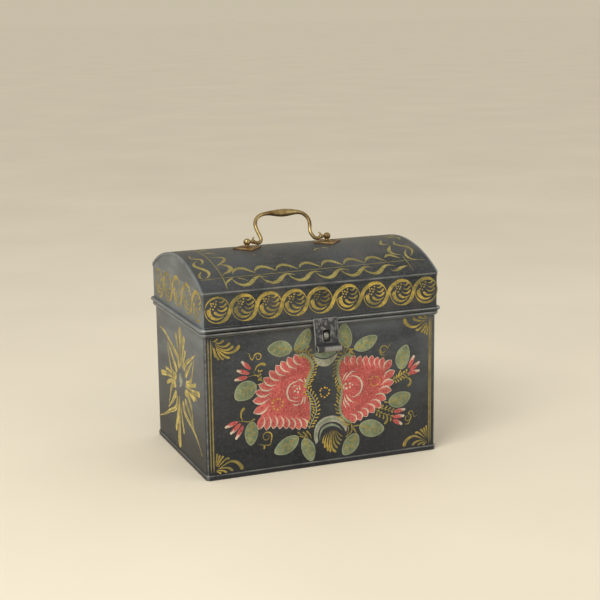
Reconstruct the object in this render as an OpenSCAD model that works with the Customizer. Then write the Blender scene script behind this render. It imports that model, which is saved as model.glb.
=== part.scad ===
// Dome-lidded deed box of japanned tinplate, with a swan-neck carrying handle.
// Millimetres. X is the width, the front faces -Y, Z is up.
// The origin is the middle of the underside.

/* [Case] */
// Width of the case over its flat walls
case_w = 250; // [200:1:300]
// Depth of the case over its flat walls
case_d = 170; // [130:1:210]
// Height of the case wall up to the stop bead
case_h = 145; // [120:1:180]
// Thickness of the tinplate
sheet = 0.6; // [0.45:0.05:0.75]
// Outer radius of the upright corners of the case
corner_r = 4; // [3:0.5:7]
// Height of the folded rim round the bottom
rim_h = 5; // [4:0.5:8]
// Width of the lap where the back sheet goes behind the wrapped sheet
lap_w = 8; // [5:0.5:12]

/* [Stop bead and upstand] */
// Height of the bead that the lid rests on
bead_h = 4.4; // [3.6:0.2:5.2]
// How far the bead stands out from the wall
bead_out = 3.3; // [2.8:0.1:3.5]
// Height of the upstand above the bead, inside the lid
upstand_h = 7.5; // [6:0.5:12]
// Depth of the hem folded inwards at the top of the upstand
hem_h = 3.5; // [2:0.5:5]

/* [Lid] */
// Gap between the upstand and the lid wall
lid_gap = 0.6; // [0.5:0.1:1.2]
// Height of the upright lid wall above the edge wire
lid_wall_h = 36.8; // [30:0.2:50]
// Rise of the dome above the upright wall
dome_rise = 24.7; // [18:0.1:34]
// Outer radius of the upright corners of the lid
lid_corner_r = 3; // [2.5:0.25:4]
// Depth of the edge of the lid top that is turned down over the band
turned_edge = 2.5; // [2:0.25:4]
// Radius of the wire in the edge of the lid
wire_r = 1.4; // [1.2:0.1:1.6]

/* [Hinges] */
// Distance of each hinge strap from the middle
strap_x = 72; // [45:1:90]
// Width of a hinge strap
strap_w = 18; // [12:1:24]
// Height of the strap leaf that lies on the back
leaf_h = 18; // [12:1:26]
// Distance between the two rivets of a strap
rivet_pitch = 10; // [7:0.5:11]
// Radius of a rivet shank
rivet_r = 1; // [0.8:0.1:1.4]

/* [Hasp and staple] */
// Width of the hasp
hasp_w = 26; // [20:1:34]
// Thickness of the hasp plate
hasp_t = 0.7; // [0.6:0.05:0.9]
// Distance from the hinge wire down to the middle of the rolled lip
hasp_len = 28.5; // [27:0.5:34]
// Outer radius of the rolled lip
lip_r = 3.6; // [3:0.1:4.4]
// Angle that the hasp stands off its closed place at rest
hasp_ajar = 10; // [10:1:20]
// Width of the slot in the hasp
slot_w = 8; // [6:0.5:12]
// Height of the slot in the hasp
slot_h = 12.4; // [11.4:0.2:13]
// Distance from the hinge wire down to the middle of the slot
slot_drop = 16; // [15.4:0.2:16.6]
// Radius of the staple wire
staple_r = 0.9; // [0.7:0.1:1]
// Radius of the bend of the staple, on the middle of its wire
staple_bend_r = 3.2; // [2.6:0.1:3.6]
// How far the staple stands out from the wall
staple_out = 8; // [6.5:0.1:8.2]

/* [Handle] */
// Place of the middle of the handle along the lid
handle_x = -4.5; // [-20:0.5:20]
// Distance between the two posts
post_span = 88.9; // [76:0.1:102]
// Radius of the ball on a post
ball_r = 3.7; // [3.2:0.1:4.4]
// Height of the middle of the ball above the foot of the post
ball_h = 4.9; // [4.5:0.1:7]
// Radius of the pins at the ends of the bail
pin_r = 1.4; // [1:0.1:1.8]
// Radius of the bail's wire
bail_r = 1.9; // [1.5:0.1:2.4]
// Height of the grip above the pins, along the bail
bail_h = 30; // [27:0.5:40]
// How far the shoulders of the bail stand in from the posts
shoulder_in = 14.65; // [12.5:0.05:17]
// Radius of the shoulders
shoulder_r = 12; // [9:0.5:14]
// How far the bail is in from the posts at its narrowest, above the feet
waist_in = 15.75; // [15:0.05:17]
// Radius of the turned-out feet
foot_r = 5.2; // [4.6:0.1:5.6]
// How far the feet dip below the pins
foot_drop = 1.6; // [1:0.1:2]
// Largest radius of the grip
grip_r = 4; // [3:0.1:5]
// Length of the swelling of the grip
grip_len = 30; // [20:1:34]
// Angle that the bail leans back at rest
bail_lean = 32; // [0:1:60]

/* [Escutcheons and nuts] */
// Length of an escutcheon along the lid
plate_w = 31; // [26:0.5:36]
// Depth of an escutcheon across the lid
plate_d = 32; // [24:0.5:36]
// Thickness of an escutcheon
plate_t = 1; // [0.8:0.1:1.6]
// Radius of the threaded shank of a post
shank_r = 1.5; // [1.2:0.1:2]
// Radius of the washer under a nut
washer_r = 5.5; // [4.5:0.5:8]
// Thickness of the washer
washer_t = 0.8; // [0.5:0.1:1.2]
// Width across the flats of the square nut
nut_w = 6.4; // [5:0.2:8]
// Thickness of the square nut
nut_t = 2.4; // [2:0.2:3.6]

/* [Fits] */
// Radial clearance of every pin and wire in its bearing
pivot_gap = 0.05; // [0.02:0.01:0.09]
// Gap between sheets that lie on each other
seam_gap = 0.05; // [0.02:0.01:0.1]
// Gap between the closed lid and the stop bead
rest_gap = 0.35; // [0.3:0.05:0.5]
// Side clearance of a knuckle in its notch
notch_gap = 0.4; // [0.3:0.05:0.8]

/* [Hidden] */
$fn = 64;

japan = [0.17, 0.17, 0.17];
japan_lid = [0.25, 0.25, 0.24];
tin = [0.55, 0.55, 0.52];
brass = [0.62, 0.48, 0.25];

// Heights
bead_top = case_h + bead_h;
upstand_top = bead_top + upstand_h;

// The rolled edge of the lid and the wire in it.
// Offsets are measured outwards from the flat walls of the case.
curl_in = wire_r + pivot_gap;
curl_out = curl_in + sheet;
wire_off = lid_gap + curl_out;
wire_z = bead_top + rest_gap + curl_out;
curl_end = 128;

// Lid
band_off = lid_gap + sheet;
top_off = band_off + seam_gap + sheet;
apex_z = wire_z + lid_wall_h + dome_rise;
dome_half = case_d / 2 + top_off;
dome_r = (dome_half * dome_half + dome_rise * dome_rise) / (2 * dome_rise);
dome_z = apex_z - dome_r;
notch_top = wire_z + curl_in + hasp_t + rest_gap;

// Back sheet, which lies one sheet in from the wrapped sheet
back_off = -(sheet + seam_gap);
back_half = case_w / 2 - corner_r;
lap_edge = back_half - lap_w;
// The flat back sheet and the bend of the straps stop this far under the bead
under_bead = 1;

// Hinge straps
strap_t = sheet;
strap_in = wire_off + curl_in;
strap_bend_z = case_h - under_bead;
strap_flat_z = strap_bend_z - (strap_in - back_off);
leaf_off = back_off + seam_gap;
rivet_z = strap_flat_z - leaf_h / 2;
rivet_head_r = 1.9 * rivet_r;
// A knuckle starts a little below its outermost point, so that it runs into its plate
knuckle_start = -4;
knuckle_end = 325;

// Hasp and staple
plate_in = wire_off + curl_in;
plate_out = plate_in + hasp_t;
slot_z = wire_z - slot_drop;
staple_z = slot_z;
staple_hole_r = staple_r + pivot_gap;
backing_w = 14;
backing_margin = 8;
backing_h = 2 * staple_bend_r + 2 * backing_margin;
clinch_len = 4;
lip_end = 138;
slot_corner_r = 2;
slot_rim = 1.5;

// Handle
post_foot_rise = 0.6;
foot_z = apex_z + seam_gap + plate_t + post_foot_rise;
pin_z = foot_z + ball_h;
bore_r = pin_r + pivot_gap;
collar_r = bail_r + 0.5;
collar_gap = 0.35;
collar_x = post_span / 2 - ball_r - collar_gap - collar_r;
shank_hole_r = shank_r + 0.1;
washer_z = apex_z - sheet - 0.15;
nut_z = washer_z - washer_t - seam_gap;
shank_tip_z = nut_z - nut_t - 1;

// Centres of the two bends of the bail, and the straight neck that touches both
shoulder_x = post_span / 2 - shoulder_in;
waist_x = post_span / 2 - waist_in;
bend_a = [shoulder_x - shoulder_r, bail_h - shoulder_r];
bend_b = [waist_x + foot_r, foot_r - foot_drop];
bend_step = bend_b - bend_a;
neck_dir = atan2(bend_step[1], bend_step[0]) - asin((shoulder_r + foot_r) / norm(bend_step));
foot_end = 312;
// The rods and the grip run this far into the bends
bend_over = 0.2;
grip_end = min(grip_len / 2, bend_a[0] - 0.5);

// Plan outline of a box wall, off outwards from the flat walls of the case
module plan(off, r) {
    w = case_w + 2 * off;
    d = case_d + 2 * off;
    square([w - 2 * r, d], center = true);
    square([w, d - 2 * r], center = true);
    for (sx = [-1, 1], sy = [-1, 1])
        translate([sx * (w / 2 - r), sy * (d / 2 - r)]) circle(r);
}

// Solid under the dome, out to radius r, with many sides because it is so large
module dome(r) {
    translate([0, 0, dome_z]) rotate([0, 90, 0]) cylinder(h = 2 * case_w, r = r, center = true, $fn = 720);
}

// Straight run of an edge profile that faces angle side: 0 is +X, 90 is +Y
module straight(side, len, dist) {
    rotate([0, 0, side - 90]) translate([0, dist, 0])
        rotate([90, 0, 90]) linear_extrude(len, center = true) children();
}

// Quarter turn of an edge profile round an upright corner, r to the flat walls' plane
module corner(side, r) {
    sx = (side == 0 || side == 270) ? 1 : -1;
    sy = (side == 0 || side == 90) ? 1 : -1;
    translate([sx * (case_w / 2 - r), sy * (case_d / 2 - r), 0])
        rotate([0, 0, side]) rotate_extrude(angle = 90) translate([r, 0]) children();
}

// Section of a case wall: upright sheet, hollow bead, and upstand with its hem
module wall_section() {
    square_from([-sheet, sheet + seam_gap], [0, case_h + sheet]);
    bead_section();
    square_from([-sheet, bead_top - sheet], [0, upstand_top - sheet]);
    square_from([-2 * sheet, upstand_top - hem_h], [0, upstand_top - sheet]);
    translate([-sheet, upstand_top - sheet]) circle(sheet);
}

module bead_section() {
    difference() {
        bead_outline(bead_h / 2, 0);
        bead_outline(bead_h / 2 - sheet, -2 * sheet);
    }
}

module bead_outline(half, start) {
    mid = bead_out - bead_h / 2;
    translate([mid, case_h + bead_h / 2]) circle(half);
    square_from([start, case_h + bead_h / 2 - half], [mid, case_h + bead_h / 2 + half]);
}

module square_from(a, b) {
    translate(a) square(b - a);
}

// Part of a ring between two angles, as the rolled edge of a sheet
module curl(r_in, r_out, from, to) {
    steps = 12;
    reach = 3 * r_out;
    difference() {
        circle(r_out);
        circle(r_in);
        polygon(concat([[0, 0]], [
            for (i = [0:steps])
                let (a = to + (from + 360 - to) * i / steps) reach * [cos(a), sin(a)]
        ]));
    }
}

// Front and both ends of the case, bent from one sheet and turned round onto the back
module case_wrap() {
    lap_len = back_half - lap_edge;
    color(japan) difference() {
        union() {
            straight(270, case_w - 2 * corner_r, case_d / 2) wall_section();
            for (side = [0, 180])
                straight(side, case_d - 2 * corner_r, case_w / 2) wall_section();
            for (side = [0, 90, 180, 270])
                corner(side, corner_r) wall_section();
            for (sx = [-1, 1])
                translate([sx * (lap_edge + lap_len / 2), 0, 0])
                    straight(90, lap_len, case_d / 2) wall_section();
        }
        staple_holes(-2 * sheet, 1);
    }
}

// Back sheet: flat where it laps behind the wrapped sheet, beaded between the laps
module case_back() {
    color(japan) difference() {
        union() {
            straight(90, 2 * back_half, case_d / 2)
                square_from([back_off - sheet, sheet + seam_gap], [back_off, case_h - under_bead]);
            straight(90, 2 * (lap_edge - seam_gap), case_d / 2)
                translate([back_off, 0]) wall_section();
        }
        rivet_places() cylinder(h = 8 * sheet, r = rivet_r + pivot_gap, center = true);
    }
}

// Bottom pan, turned up outside the walls, with its edge folded back down
module case_bottom() {
    inner = seam_gap;
    middle = inner + sheet;
    outer = middle + sheet;
    color(japan) {
        linear_extrude(sheet) plan(middle, corner_r + middle);
        difference() {
            union() {
                translate([0, 0, 1.3 * sheet]) linear_extrude(rim_h - 2.3 * sheet)
                    plan(outer, corner_r + outer);
                linear_extrude(rim_h - sheet) plan(middle, corner_r + middle);
                all_round(corner_r) translate([middle, rim_h - sheet]) circle(sheet);
            }
            translate([0, 0, sheet]) linear_extrude(rim_h) plan(inner, corner_r + inner);
        }
    }
}

// An edge profile taken all the way round the box
module all_round(r) {
    for (side = [90, 270])
        straight(side, case_w - 2 * r, case_d / 2) children();
    for (side = [0, 180])
        straight(side, case_d - 2 * r, case_w / 2) children();
    for (side = [0, 90, 180, 270])
        corner(side, r) children();
}

// Places the two legs of the staple at the front wall, along Y
module staple_legs() {
    for (s = [-1, 1])
        translate([0, -case_d / 2, staple_z + s * staple_bend_r]) rotate([90, 0, 0]) children();
}

module staple_holes(from, to) {
    staple_legs() translate([0, 0, from]) cylinder(h = to - from, r = staple_hole_r);
}

// Wire staple: a round nose, two legs through the wall, and ends clinched flat inside
module staple() {
    nose = staple_out - staple_r - staple_bend_r;
    inside = -(2 * sheet + 2 * seam_gap + staple_r);
    color(tin) {
        translate([0, -(case_d / 2 + nose), staple_z])
            rotate([0, 90, 0]) rotate([0, 0, 180]) rotate_extrude(angle = 180)
                translate([staple_bend_r, 0]) circle(staple_r);
        staple_legs() translate([0, 0, inside]) cylinder(h = nose - inside, r = staple_r);
        for (s = [-1, 1])
            translate([0, -(case_d / 2 + inside), staple_z + s * staple_bend_r]) {
                sphere(staple_r);
                rotate([s > 0 ? 0 : 180, 0, 0]) cylinder(h = clinch_len, r = staple_r);
            }
    }
}

// Backing plate that spreads the pull of the staple inside the front wall
module staple_plate() {
    near = -(sheet + seam_gap);
    color(tin) difference() {
        translate([0, -(case_d / 2 + near), staple_z]) rotate([-90, 0, 0]) linear_extrude(sheet)
            rounded(backing_w, backing_h, slot_corner_r);
        staple_holes(-3 * sheet, 0);
    }
}

module rounded(w, h, r) {
    square([w - 2 * r, h], center = true);
    square([w, h - 2 * r], center = true);
    for (sx = [-1, 1], sy = [-1, 1])
        translate([sx * (w / 2 - r), sy * (h / 2 - r)]) circle(r);
}

// Rivets go through the strap and the back sheet, along +Y
module rivet_places() {
    for (sx = [-1, 1], sp = [-0.5, 0.5])
        translate([sx * strap_x + sp * rivet_pitch, case_d / 2 + back_off, rivet_z])
            rotate([-90, 0, 0]) children();
}

// Tin strap rolled round the lid's edge wire, set over the bead and lying on the back
module hinge_strap(sx) {
    color(tin) difference() {
        translate([sx * strap_x, 0, 0]) straight(90, strap_w, case_d / 2) {
            translate([wire_off, wire_z]) curl(curl_in, curl_out, knuckle_start, knuckle_end);
            polygon([
                [strap_in, wire_z], [strap_in, strap_bend_z],
                [leaf_off, strap_flat_z], [leaf_off, strap_flat_z - leaf_h],
                [leaf_off + strap_t, strap_flat_z - leaf_h], [leaf_off + strap_t, strap_flat_z],
                [strap_in + strap_t, strap_bend_z], [strap_in + strap_t, wire_z]
            ]);
        }
        rivet_places() cylinder(h = 8 * sheet, r = rivet_r + pivot_gap, center = true);
    }
}

// Rivets with domed heads outside and low peened ends inside
module hinge_rivets() {
    head = seam_gap + strap_t;
    tail = -(sheet + seam_gap);
    color(tin) rivet_places() {
        translate([0, 0, tail]) cylinder(h = head - tail + seam_gap, r = rivet_r);
        translate([0, 0, head + seam_gap]) half_ball(rivet_head_r, 0.9 * rivet_r);
        translate([0, 0, tail]) rotate([180, 0, 0]) half_ball(1.4 * rivet_r, 0.6 * rivet_r);
    }
}

// Cap of a ball, w in radius at its foot and h high
module half_ball(w, h) {
    r = (w * w + h * h) / (2 * h);
    intersection() {
        translate([0, 0, h - r]) sphere(r);
        cylinder(h = 2 * h, r = 2 * w);
    }
}

// Gaps in the rolled edge where the straps and the hasp take hold of the wire
module wire_notches() {
    low = wire_z - 2 * curl_out;
    for (sx = [-1, 1])
        notch(sx * strap_x, strap_w, case_d / 2 + lid_gap / 2, low);
    notch(0, hasp_w, -(case_d / 2 + lid_gap / 2) - 4 * curl_out, low);
}

module notch(x, w, y, low) {
    translate([x - w / 2 - notch_gap, y, low]) cube([w + 2 * notch_gap, 4 * curl_out, notch_top - low]);
}

// Upright wall of the lid with both arched ends, rolled outwards round the edge wire
module lid_band() {
    color(japan) difference() {
        union() {
            intersection() {
                translate([0, 0, wire_z]) linear_extrude(apex_z) difference() {
                    plan(band_off, lid_corner_r);
                    plan(lid_gap, lid_corner_r - sheet);
                }
                dome(dome_r - sheet - seam_gap);
            }
            all_round_lid() curl(curl_in, curl_out, 180, 360 + curl_end);
        }
        wire_notches();
    }
}

// A profile round the lid's edge, centred on the wire
module all_round_lid() {
    r = lid_corner_r - sheet + curl_out;
    for (side = [90, 270])
        straight(side, case_w + 2 * wire_off - 2 * r, case_d / 2 + wire_off)
            translate([0, wire_z]) children();
    for (side = [0, 180])
        straight(side, case_d + 2 * wire_off - 2 * r, case_w / 2 + wire_off)
            translate([0, wire_z]) children();
    for (sx = [-1, 1], sy = [-1, 1])
        translate([sx * (case_w / 2 + wire_off - r), sy * (case_d / 2 + wire_off - r), 0])
            rotate([0, 0, (sx > 0 ? (sy > 0 ? 0 : 270) : (sy > 0 ? 90 : 180))])
                rotate_extrude(angle = 90) translate([r, wire_z]) children();
}

// Domed top, its edge turned down over the band all the way round
module lid_top() {
    color(japan_lid) difference() {
        intersection() {
            translate([0, 0, wire_z]) linear_extrude(apex_z) plan(top_off, lid_corner_r + seam_gap + sheet);
            dome(dome_r);
        }
        intersection() {
            linear_extrude(2 * apex_z) plan(band_off + seam_gap, lid_corner_r + seam_gap);
            dome(dome_r - sheet);
        }
        dome(dome_r - turned_edge);
        translate([0, 0, wire_z - 1]) cube([2 * case_w, 2 * case_d, lid_wall_h], center = true);
        post_places() cylinder(h = 20, r = shank_hole_r, center = true);
    }
}

// Iron wire that stiffens the lid's edge and is the pin of the hinges and the hasp
module lid_wire() {
    color(tin) all_round_lid() circle(wire_r);
}

module post_places() {
    for (sx = [-1, 1])
        post_at(sx) translate([0, 0, apex_z]) children();
}

module post_at(sx) {
    translate([handle_x + sx * post_span / 2, 0, 0]) children();
}

// Turned brass post: flared foot with a cove, neck, pierced ball, and the shank below
module handle_post(sx) {
    flare_r = 3.3;
    neck_r = 2;
    flare_h = ball_h - 0.75 * ball_r;
    fillet = 0.2;
    rim = 0.6;
    cove_r = min(flare_r - neck_r + fillet, flare_h - rim);
    color(brass) post_at(sx) difference() {
        union() {
            translate([0, 0, pin_z]) sphere(ball_r);
            translate([0, 0, foot_z]) rotate_extrude() difference() {
                square([flare_r, flare_h]);
                translate([flare_r + fillet, flare_h]) circle(cove_r);
            }
            translate([0, 0, foot_z]) cylinder(h = ball_h, r = neck_r);
            translate([0, 0, shank_tip_z]) cylinder(h = foot_z - shank_tip_z, r = shank_r);
        }
        translate([0, 0, pin_z]) rotate([0, 90, 0]) cylinder(h = 4 * ball_r, r = bore_r, center = true);
    }
}

// Lozenge of brass, bent to the dome, with a low boss under the post
module escutcheon(sx) {
    boss_foot_r = 8.4;
    boss_top_r = 5.2;
    color(brass) difference() {
        union() {
            intersection() {
                post_at(sx) linear_extrude(2 * apex_z)
                    polygon([[-plate_w / 2, 0], [0, -plate_d / 2], [plate_w / 2, 0], [0, plate_d / 2]]);
                dome(dome_r + seam_gap + plate_t);
            }
            post_at(sx) translate([0, 0, apex_z])
                cylinder(h = foot_z - apex_z, r1 = boss_foot_r, r2 = boss_top_r);
        }
        dome(dome_r + seam_gap);
        post_places() cylinder(h = 20, r = shank_hole_r, center = true);
    }
}

module washer(sx) {
    color(tin) post_at(sx) translate([0, 0, washer_z - washer_t]) difference() {
        cylinder(h = washer_t, r = washer_r);
        translate([0, 0, -1]) cylinder(h = washer_t + 2, r = shank_hole_r);
    }
}

module nut(sx) {
    color(tin) post_at(sx) translate([0, 0, nut_z - nut_t]) difference() {
        translate([-nut_w / 2, -nut_w / 2, 0]) cube([nut_w, nut_w, nut_t]);
        translate([0, 0, -1]) cylinder(h = nut_t + 2, r = shank_r + seam_gap);
    }
}

function on_bend(centre, r, a) = centre + r * [cos(a), sin(a)];

// Bent stretch of the bail; a hair thicker, so that its skin never coincides with that of a rod
module bend(centre, r, from, to) {
    skin = 0.02;
    translate([centre[0], 0, centre[1]]) rotate([90, 0, 0]) rotate([0, 0, from])
        rotate_extrude(angle = to - from) translate([r, 0]) circle(bail_r + skin);
}

module rod(from, to) {
    run = to - from;
    translate([from[0], 0, from[1]]) rotate([0, atan2(run[0], run[1]), 0])
        cylinder(h = norm(run), r = bail_r);
}

// The grip swells smoothly towards its middle
module grip() {
    steps = 9;
    end = bend_a[0] + bend_over;
    translate([0, 0, bail_h]) rotate([0, 90, 0]) rotate_extrude() polygon(concat(
        [[0, -end], [bail_r, -end]],
        [
            for (i = [-steps:steps])
                [bail_r + (grip_r - bail_r) * pow(cos(90 * i / steps), 2), grip_end * i / steps]
        ],
        [[bail_r, end], [0, end]]
    ));
}

// Swan-neck bail with a swelled grip, a collar at each foot and a pin beyond it
module handle_bail() {
    neck_a = on_bend(bend_a, shoulder_r, neck_dir + 90);
    neck_b = on_bend(bend_b, foot_r, neck_dir + 270);
    over = bend_over * (neck_b - neck_a) / norm(neck_b - neck_a);
    color(brass) translate([handle_x, 0, pin_z]) rotate([-bail_lean, 0, 0]) {
        grip();
        for (m = [0, 1])
            mirror([m, 0, 0]) {
                bend(bend_a, shoulder_r, neck_dir + 90, 90);
                rod(neck_a - over, neck_b + over);
                bend(bend_b, foot_r, foot_end, neck_dir + 270);
                bail_end();
            }
    }
}

// Collar, pin and small thorn at the end of the bail
module bail_end() {
    thorn_h = 3;
    thorn_foot_r = 1.4;
    thorn_tip_r = 0.3;
    thorn_tilt = 8;
    pin_len = post_span / 2 + 0.8 * ball_r - collar_x;
    translate([collar_x, 0, 0]) {
        sphere(collar_r, $fn = 32);
        rotate([0, 90, 0]) cylinder(h = pin_len, r = pin_r);
        translate([-collar_r / 4, 0, 0.6 * collar_r]) rotate([0, -thorn_tilt, 0])
            cylinder(h = thorn_h, r1 = thorn_foot_r, r2 = thorn_tip_r, $fn = 32);
    }
}

// Section of the hasp: knuckle, plate and outward rolled lip
module hasp_section() {
    lip = [plate_in + lip_r, wire_z - hasp_len];
    translate([wire_off, wire_z]) curl(curl_in, curl_in + hasp_t, knuckle_start, knuckle_end);
    square_from([plate_in, lip[1]], [plate_out, wire_z]);
    translate(lip) curl(lip_r - hasp_t, lip_r, 180, 360 + lip_end);
}

// Hasp of doubled tin, hung on the lid's edge wire in front, over the staple
module hasp() {
    fold_w = 1.8;
    fold_t = 0.5;
    fold_low = wire_z - hasp_len + lip_r + 1;
    fold_top = wire_z - 3;
    color(tin) turned_out(hasp_ajar) difference() {
        union() {
            straight(270, hasp_w, case_d / 2) hasp_section();
            for (sx = [-1, 1])
                translate([sx * (hasp_w - fold_w) / 2, 0, 0]) straight(270, fold_w, case_d / 2)
                    square_from([plate_out, fold_low], [plate_out + fold_t, fold_top]);
            on_plate(plate_out) linear_extrude(fold_t)
                rounded(slot_w + 2 * slot_rim, slot_h + 2 * slot_rim, slot_corner_r + slot_rim);
        }
        on_plate(plate_in - 1) linear_extrude(4 * hasp_t + 1) rounded(slot_w, slot_h, slot_corner_r);
    }
}

// Puts a flat outline on the closed hasp plate, at distance off from the wall
module on_plate(off) {
    translate([0, -(case_d / 2 + off), slot_z]) rotate([90, 0, 0]) children();
}

// Turns its child outwards about the edge wire at the front
module turned_out(angle) {
    y = -(case_d / 2 + wire_off);
    translate([0, y, wire_z]) rotate([-angle, 0, 0]) translate([0, -y, -wire_z]) children();
}

case_wrap();
case_back();
case_bottom();
staple();
staple_plate();
hinge_strap(-1);  // hinge_strap_left
hinge_strap(1);  // hinge_strap_right
hinge_rivets();
lid_band();
lid_top();
lid_wire();
handle_post(-1);  // handle_post_left
handle_post(1);  // handle_post_right
escutcheon(-1);  // escutcheon_left
escutcheon(1);  // escutcheon_right
washer(-1);  // washer_left
washer(1);  // washer_right
nut(-1);  // nut_left
nut(1);  // nut_right
handle_bail();
hasp();
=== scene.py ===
"""Dresses a deed box of japanned tinplate: painted flowers, worn sheets, brass handle and stage."""

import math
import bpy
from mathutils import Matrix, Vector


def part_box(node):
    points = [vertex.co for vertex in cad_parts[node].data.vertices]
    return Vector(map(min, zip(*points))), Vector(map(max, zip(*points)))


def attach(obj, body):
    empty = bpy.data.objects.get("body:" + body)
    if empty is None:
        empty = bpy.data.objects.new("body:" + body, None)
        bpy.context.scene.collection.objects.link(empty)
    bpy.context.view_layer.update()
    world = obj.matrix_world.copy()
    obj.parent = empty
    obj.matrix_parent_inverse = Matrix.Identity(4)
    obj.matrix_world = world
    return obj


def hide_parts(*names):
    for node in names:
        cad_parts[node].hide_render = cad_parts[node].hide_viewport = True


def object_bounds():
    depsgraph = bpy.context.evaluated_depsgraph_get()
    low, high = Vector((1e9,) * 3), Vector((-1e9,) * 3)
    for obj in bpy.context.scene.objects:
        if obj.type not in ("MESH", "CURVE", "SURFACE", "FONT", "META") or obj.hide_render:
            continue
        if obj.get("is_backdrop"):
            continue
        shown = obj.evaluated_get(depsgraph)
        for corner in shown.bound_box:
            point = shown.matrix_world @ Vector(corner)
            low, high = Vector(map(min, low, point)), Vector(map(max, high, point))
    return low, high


bl_info = {
    "name": "Painted Deed Box",
    "version": (1, 0, 0),
    "blender": (4, 5, 0),
    "location": "3D View > Sidebar > Deed Box",
    "description": "Paints and fits out a dome-lidded deed box of japanned tinplate",
    "category": "Object",
}

import bmesh
import bpy
from bpy.props import FloatProperty, FloatVectorProperty, IntProperty, PointerProperty
from mathutils import Matrix, Vector
from mathutils.geometry import tessellate_polygon

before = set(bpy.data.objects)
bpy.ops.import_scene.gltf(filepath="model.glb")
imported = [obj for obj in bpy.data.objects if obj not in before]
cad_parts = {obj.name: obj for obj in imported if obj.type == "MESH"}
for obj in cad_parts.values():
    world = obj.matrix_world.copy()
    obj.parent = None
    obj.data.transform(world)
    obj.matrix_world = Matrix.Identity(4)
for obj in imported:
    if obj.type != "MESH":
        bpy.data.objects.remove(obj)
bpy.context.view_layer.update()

MM = 0.001
LID_TOP_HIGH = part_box("lid_top")[1]
# Half width and half depth of the case and of the lid's wall, over their flat faces
CASE_X, CASE_Y = 0.125, 0.085
BAND_X, BAND_Y = 0.1262, 0.0862
CASE_CORNER, LID_CORNER = 0.004, 0.003
# The lid's top lies this far outside its wall, with its edge turned down
TIN = 0.00065
DOME_RADIUS, DOME_RISE = 0.16504, 0.0247
# Axis of the dome
DOME_PLACE = Matrix.Translation((0, 0, LID_TOP_HIGH.z - DOME_RADIUS))
# Light lines of rubbed tin, which also stand as painted highlights, as (from, to, amount), with heights in
# metres. On the case they run over the rim, round the foot, on the bead and under it. On the lid, two run on
# the rolled edge and one along the crease.
CASE_LINES = ((0.0042, 0.0052, 0.5), (-0.001, 0.0006, 0.35), (0.1472, 0.1484, 0.75), (0.1450, 0.1456, 0.35))
CREASE = LID_TOP_HIGH.z - DOME_RISE
LID_LINES = ((0.1521, 0.1531, 0.85), (0.1542, 0.1547, 0.35), (CREASE - 0.0010, CREASE + 0.0003, 0.55))
# The same on the ends of the lid, in metres from the axis of the dome
ARCH_LINES = ((0.1627, 0.1633, 0.5), (0.1642, 0.1652, 0.5))
# Height of the point that every inner face looks to, in the case and in the lid
CASE_HEART, LID_HEART = 0.05, 0.13
# Radius of the CAD staple's wire
STAPLE_WIRE = 0.9 * MM
# Lift of a stroke's layer, over the height of the film
LAYER = 0.9

# Camera that was fitted to the picture: place, focal length over frame width, and turns
CAMERA_PLACE = Vector((-0.5143, -1.3216, 0.4595))
CAMERA_YAW, CAMERA_PITCH, CAMERA_ROLL = 21.59, 12.14, -0.73
CAMERA_LENS = 82.98
LAMP_TARGET = Vector((0, 0, 0.1))


# Settings

def colour(name, description, default):
    return FloatVectorProperty(name=name, description=description, subtype="COLOR", size=3, min=0, max=1,
                               default=default)


def length(name, description, default):
    return FloatProperty(name=name, description=description, subtype="DISTANCE", unit="LENGTH",
                         default=default)


class PaintSettings(bpy.types.PropertyGroup):
    """Colours and film of the painted ornament"""

    ochre: colour("Ochre", "Yellow of the scrolls and stems", (0.41, 0.288, 0.052))
    umber: colour("Umber", "Dull yellow of the stripes", (0.235, 0.185, 0.065))
    red: colour("Red", "Deep red of the hearts of the flowers", (0.445, 0.085, 0.072))
    rose: colour("Rose", "Lighter red of the petals and buds", (0.52, 0.118, 0.098))
    gold: colour("Gold", "Bright yellow of the rings of dots", (0.58, 0.33, 0.045))
    cream: colour("Cream", "Pale edges of the petals", (0.56, 0.47, 0.35))
    leaf: colour("Leaf green", "Green of the leaves", (0.190, 0.226, 0.128))
    leaf_edge: colour("Leaf edge", "Paler margin of the leaves", (0.275, 0.30, 0.185))
    leaf_vein: colour("Leaf vein", "Ochre veins of the leaves", (0.33, 0.26, 0.07))
    leaf_blue: colour("Leaf shade", "Blue green veins of the leaves", (0.12, 0.235, 0.165))
    sage: colour("Sage", "Grey green of the crescents", (0.205, 0.245, 0.165))
    stone: colour("Stone", "Pale grey of the arches", (0.31, 0.31, 0.225))
    film: length("Film", "Height of one layer of paint", 0.10 * MM)
    sides: IntProperty(name="Sides", description="Sides of the section of a brush stroke", default=8, min=5,
                       max=16)


class SheetSettings(bpy.types.PropertyGroup):
    """Colours of the japanned sheets and the unpainted metal"""

    japan: colour("Japan", "Black japan of the case", (0.0225, 0.0235, 0.0275))
    japan_lid: colour("Lid japan", "Black japan of the lid", (0.027, 0.030, 0.034))
    # Grey of the painted sheen on the ends and the crown, and of the dusty grey on the case
    sheen_and_dust: colour("Bloom", "Grey bloom on the ends and the top", (0.185, 0.207, 0.215))
    inside: colour("Inside", "Unpainted tin inside", (0.36, 0.35, 0.315))
    # Also the colour of the light lines on the edges and beads, which stand as painted highlights
    tin: colour("Tin", "Rubbed tin of the edges, hasp and hinges", (0.36, 0.365, 0.35))
    staple: length("Staple wire", "Half thickness of the loop on the staple", 0.95 * MM)
    bend: length("Staple bend", "Radius of the bend of the staple", 3.2 * MM)
    flat: FloatProperty(name="Flatness", description="Width of the staple's wire over its thickness",
                        default=2.7)
    brass: colour("Brass", "Aged brass of the handle", (0.43, 0.33, 0.155))
    copper: colour("Copper", "Ruddy bronze of the lozenges", (0.30, 0.165, 0.085))
    brass_dark: colour("Brass patina", "Brown in the hollows of the brass", (0.15, 0.082, 0.036))


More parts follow.
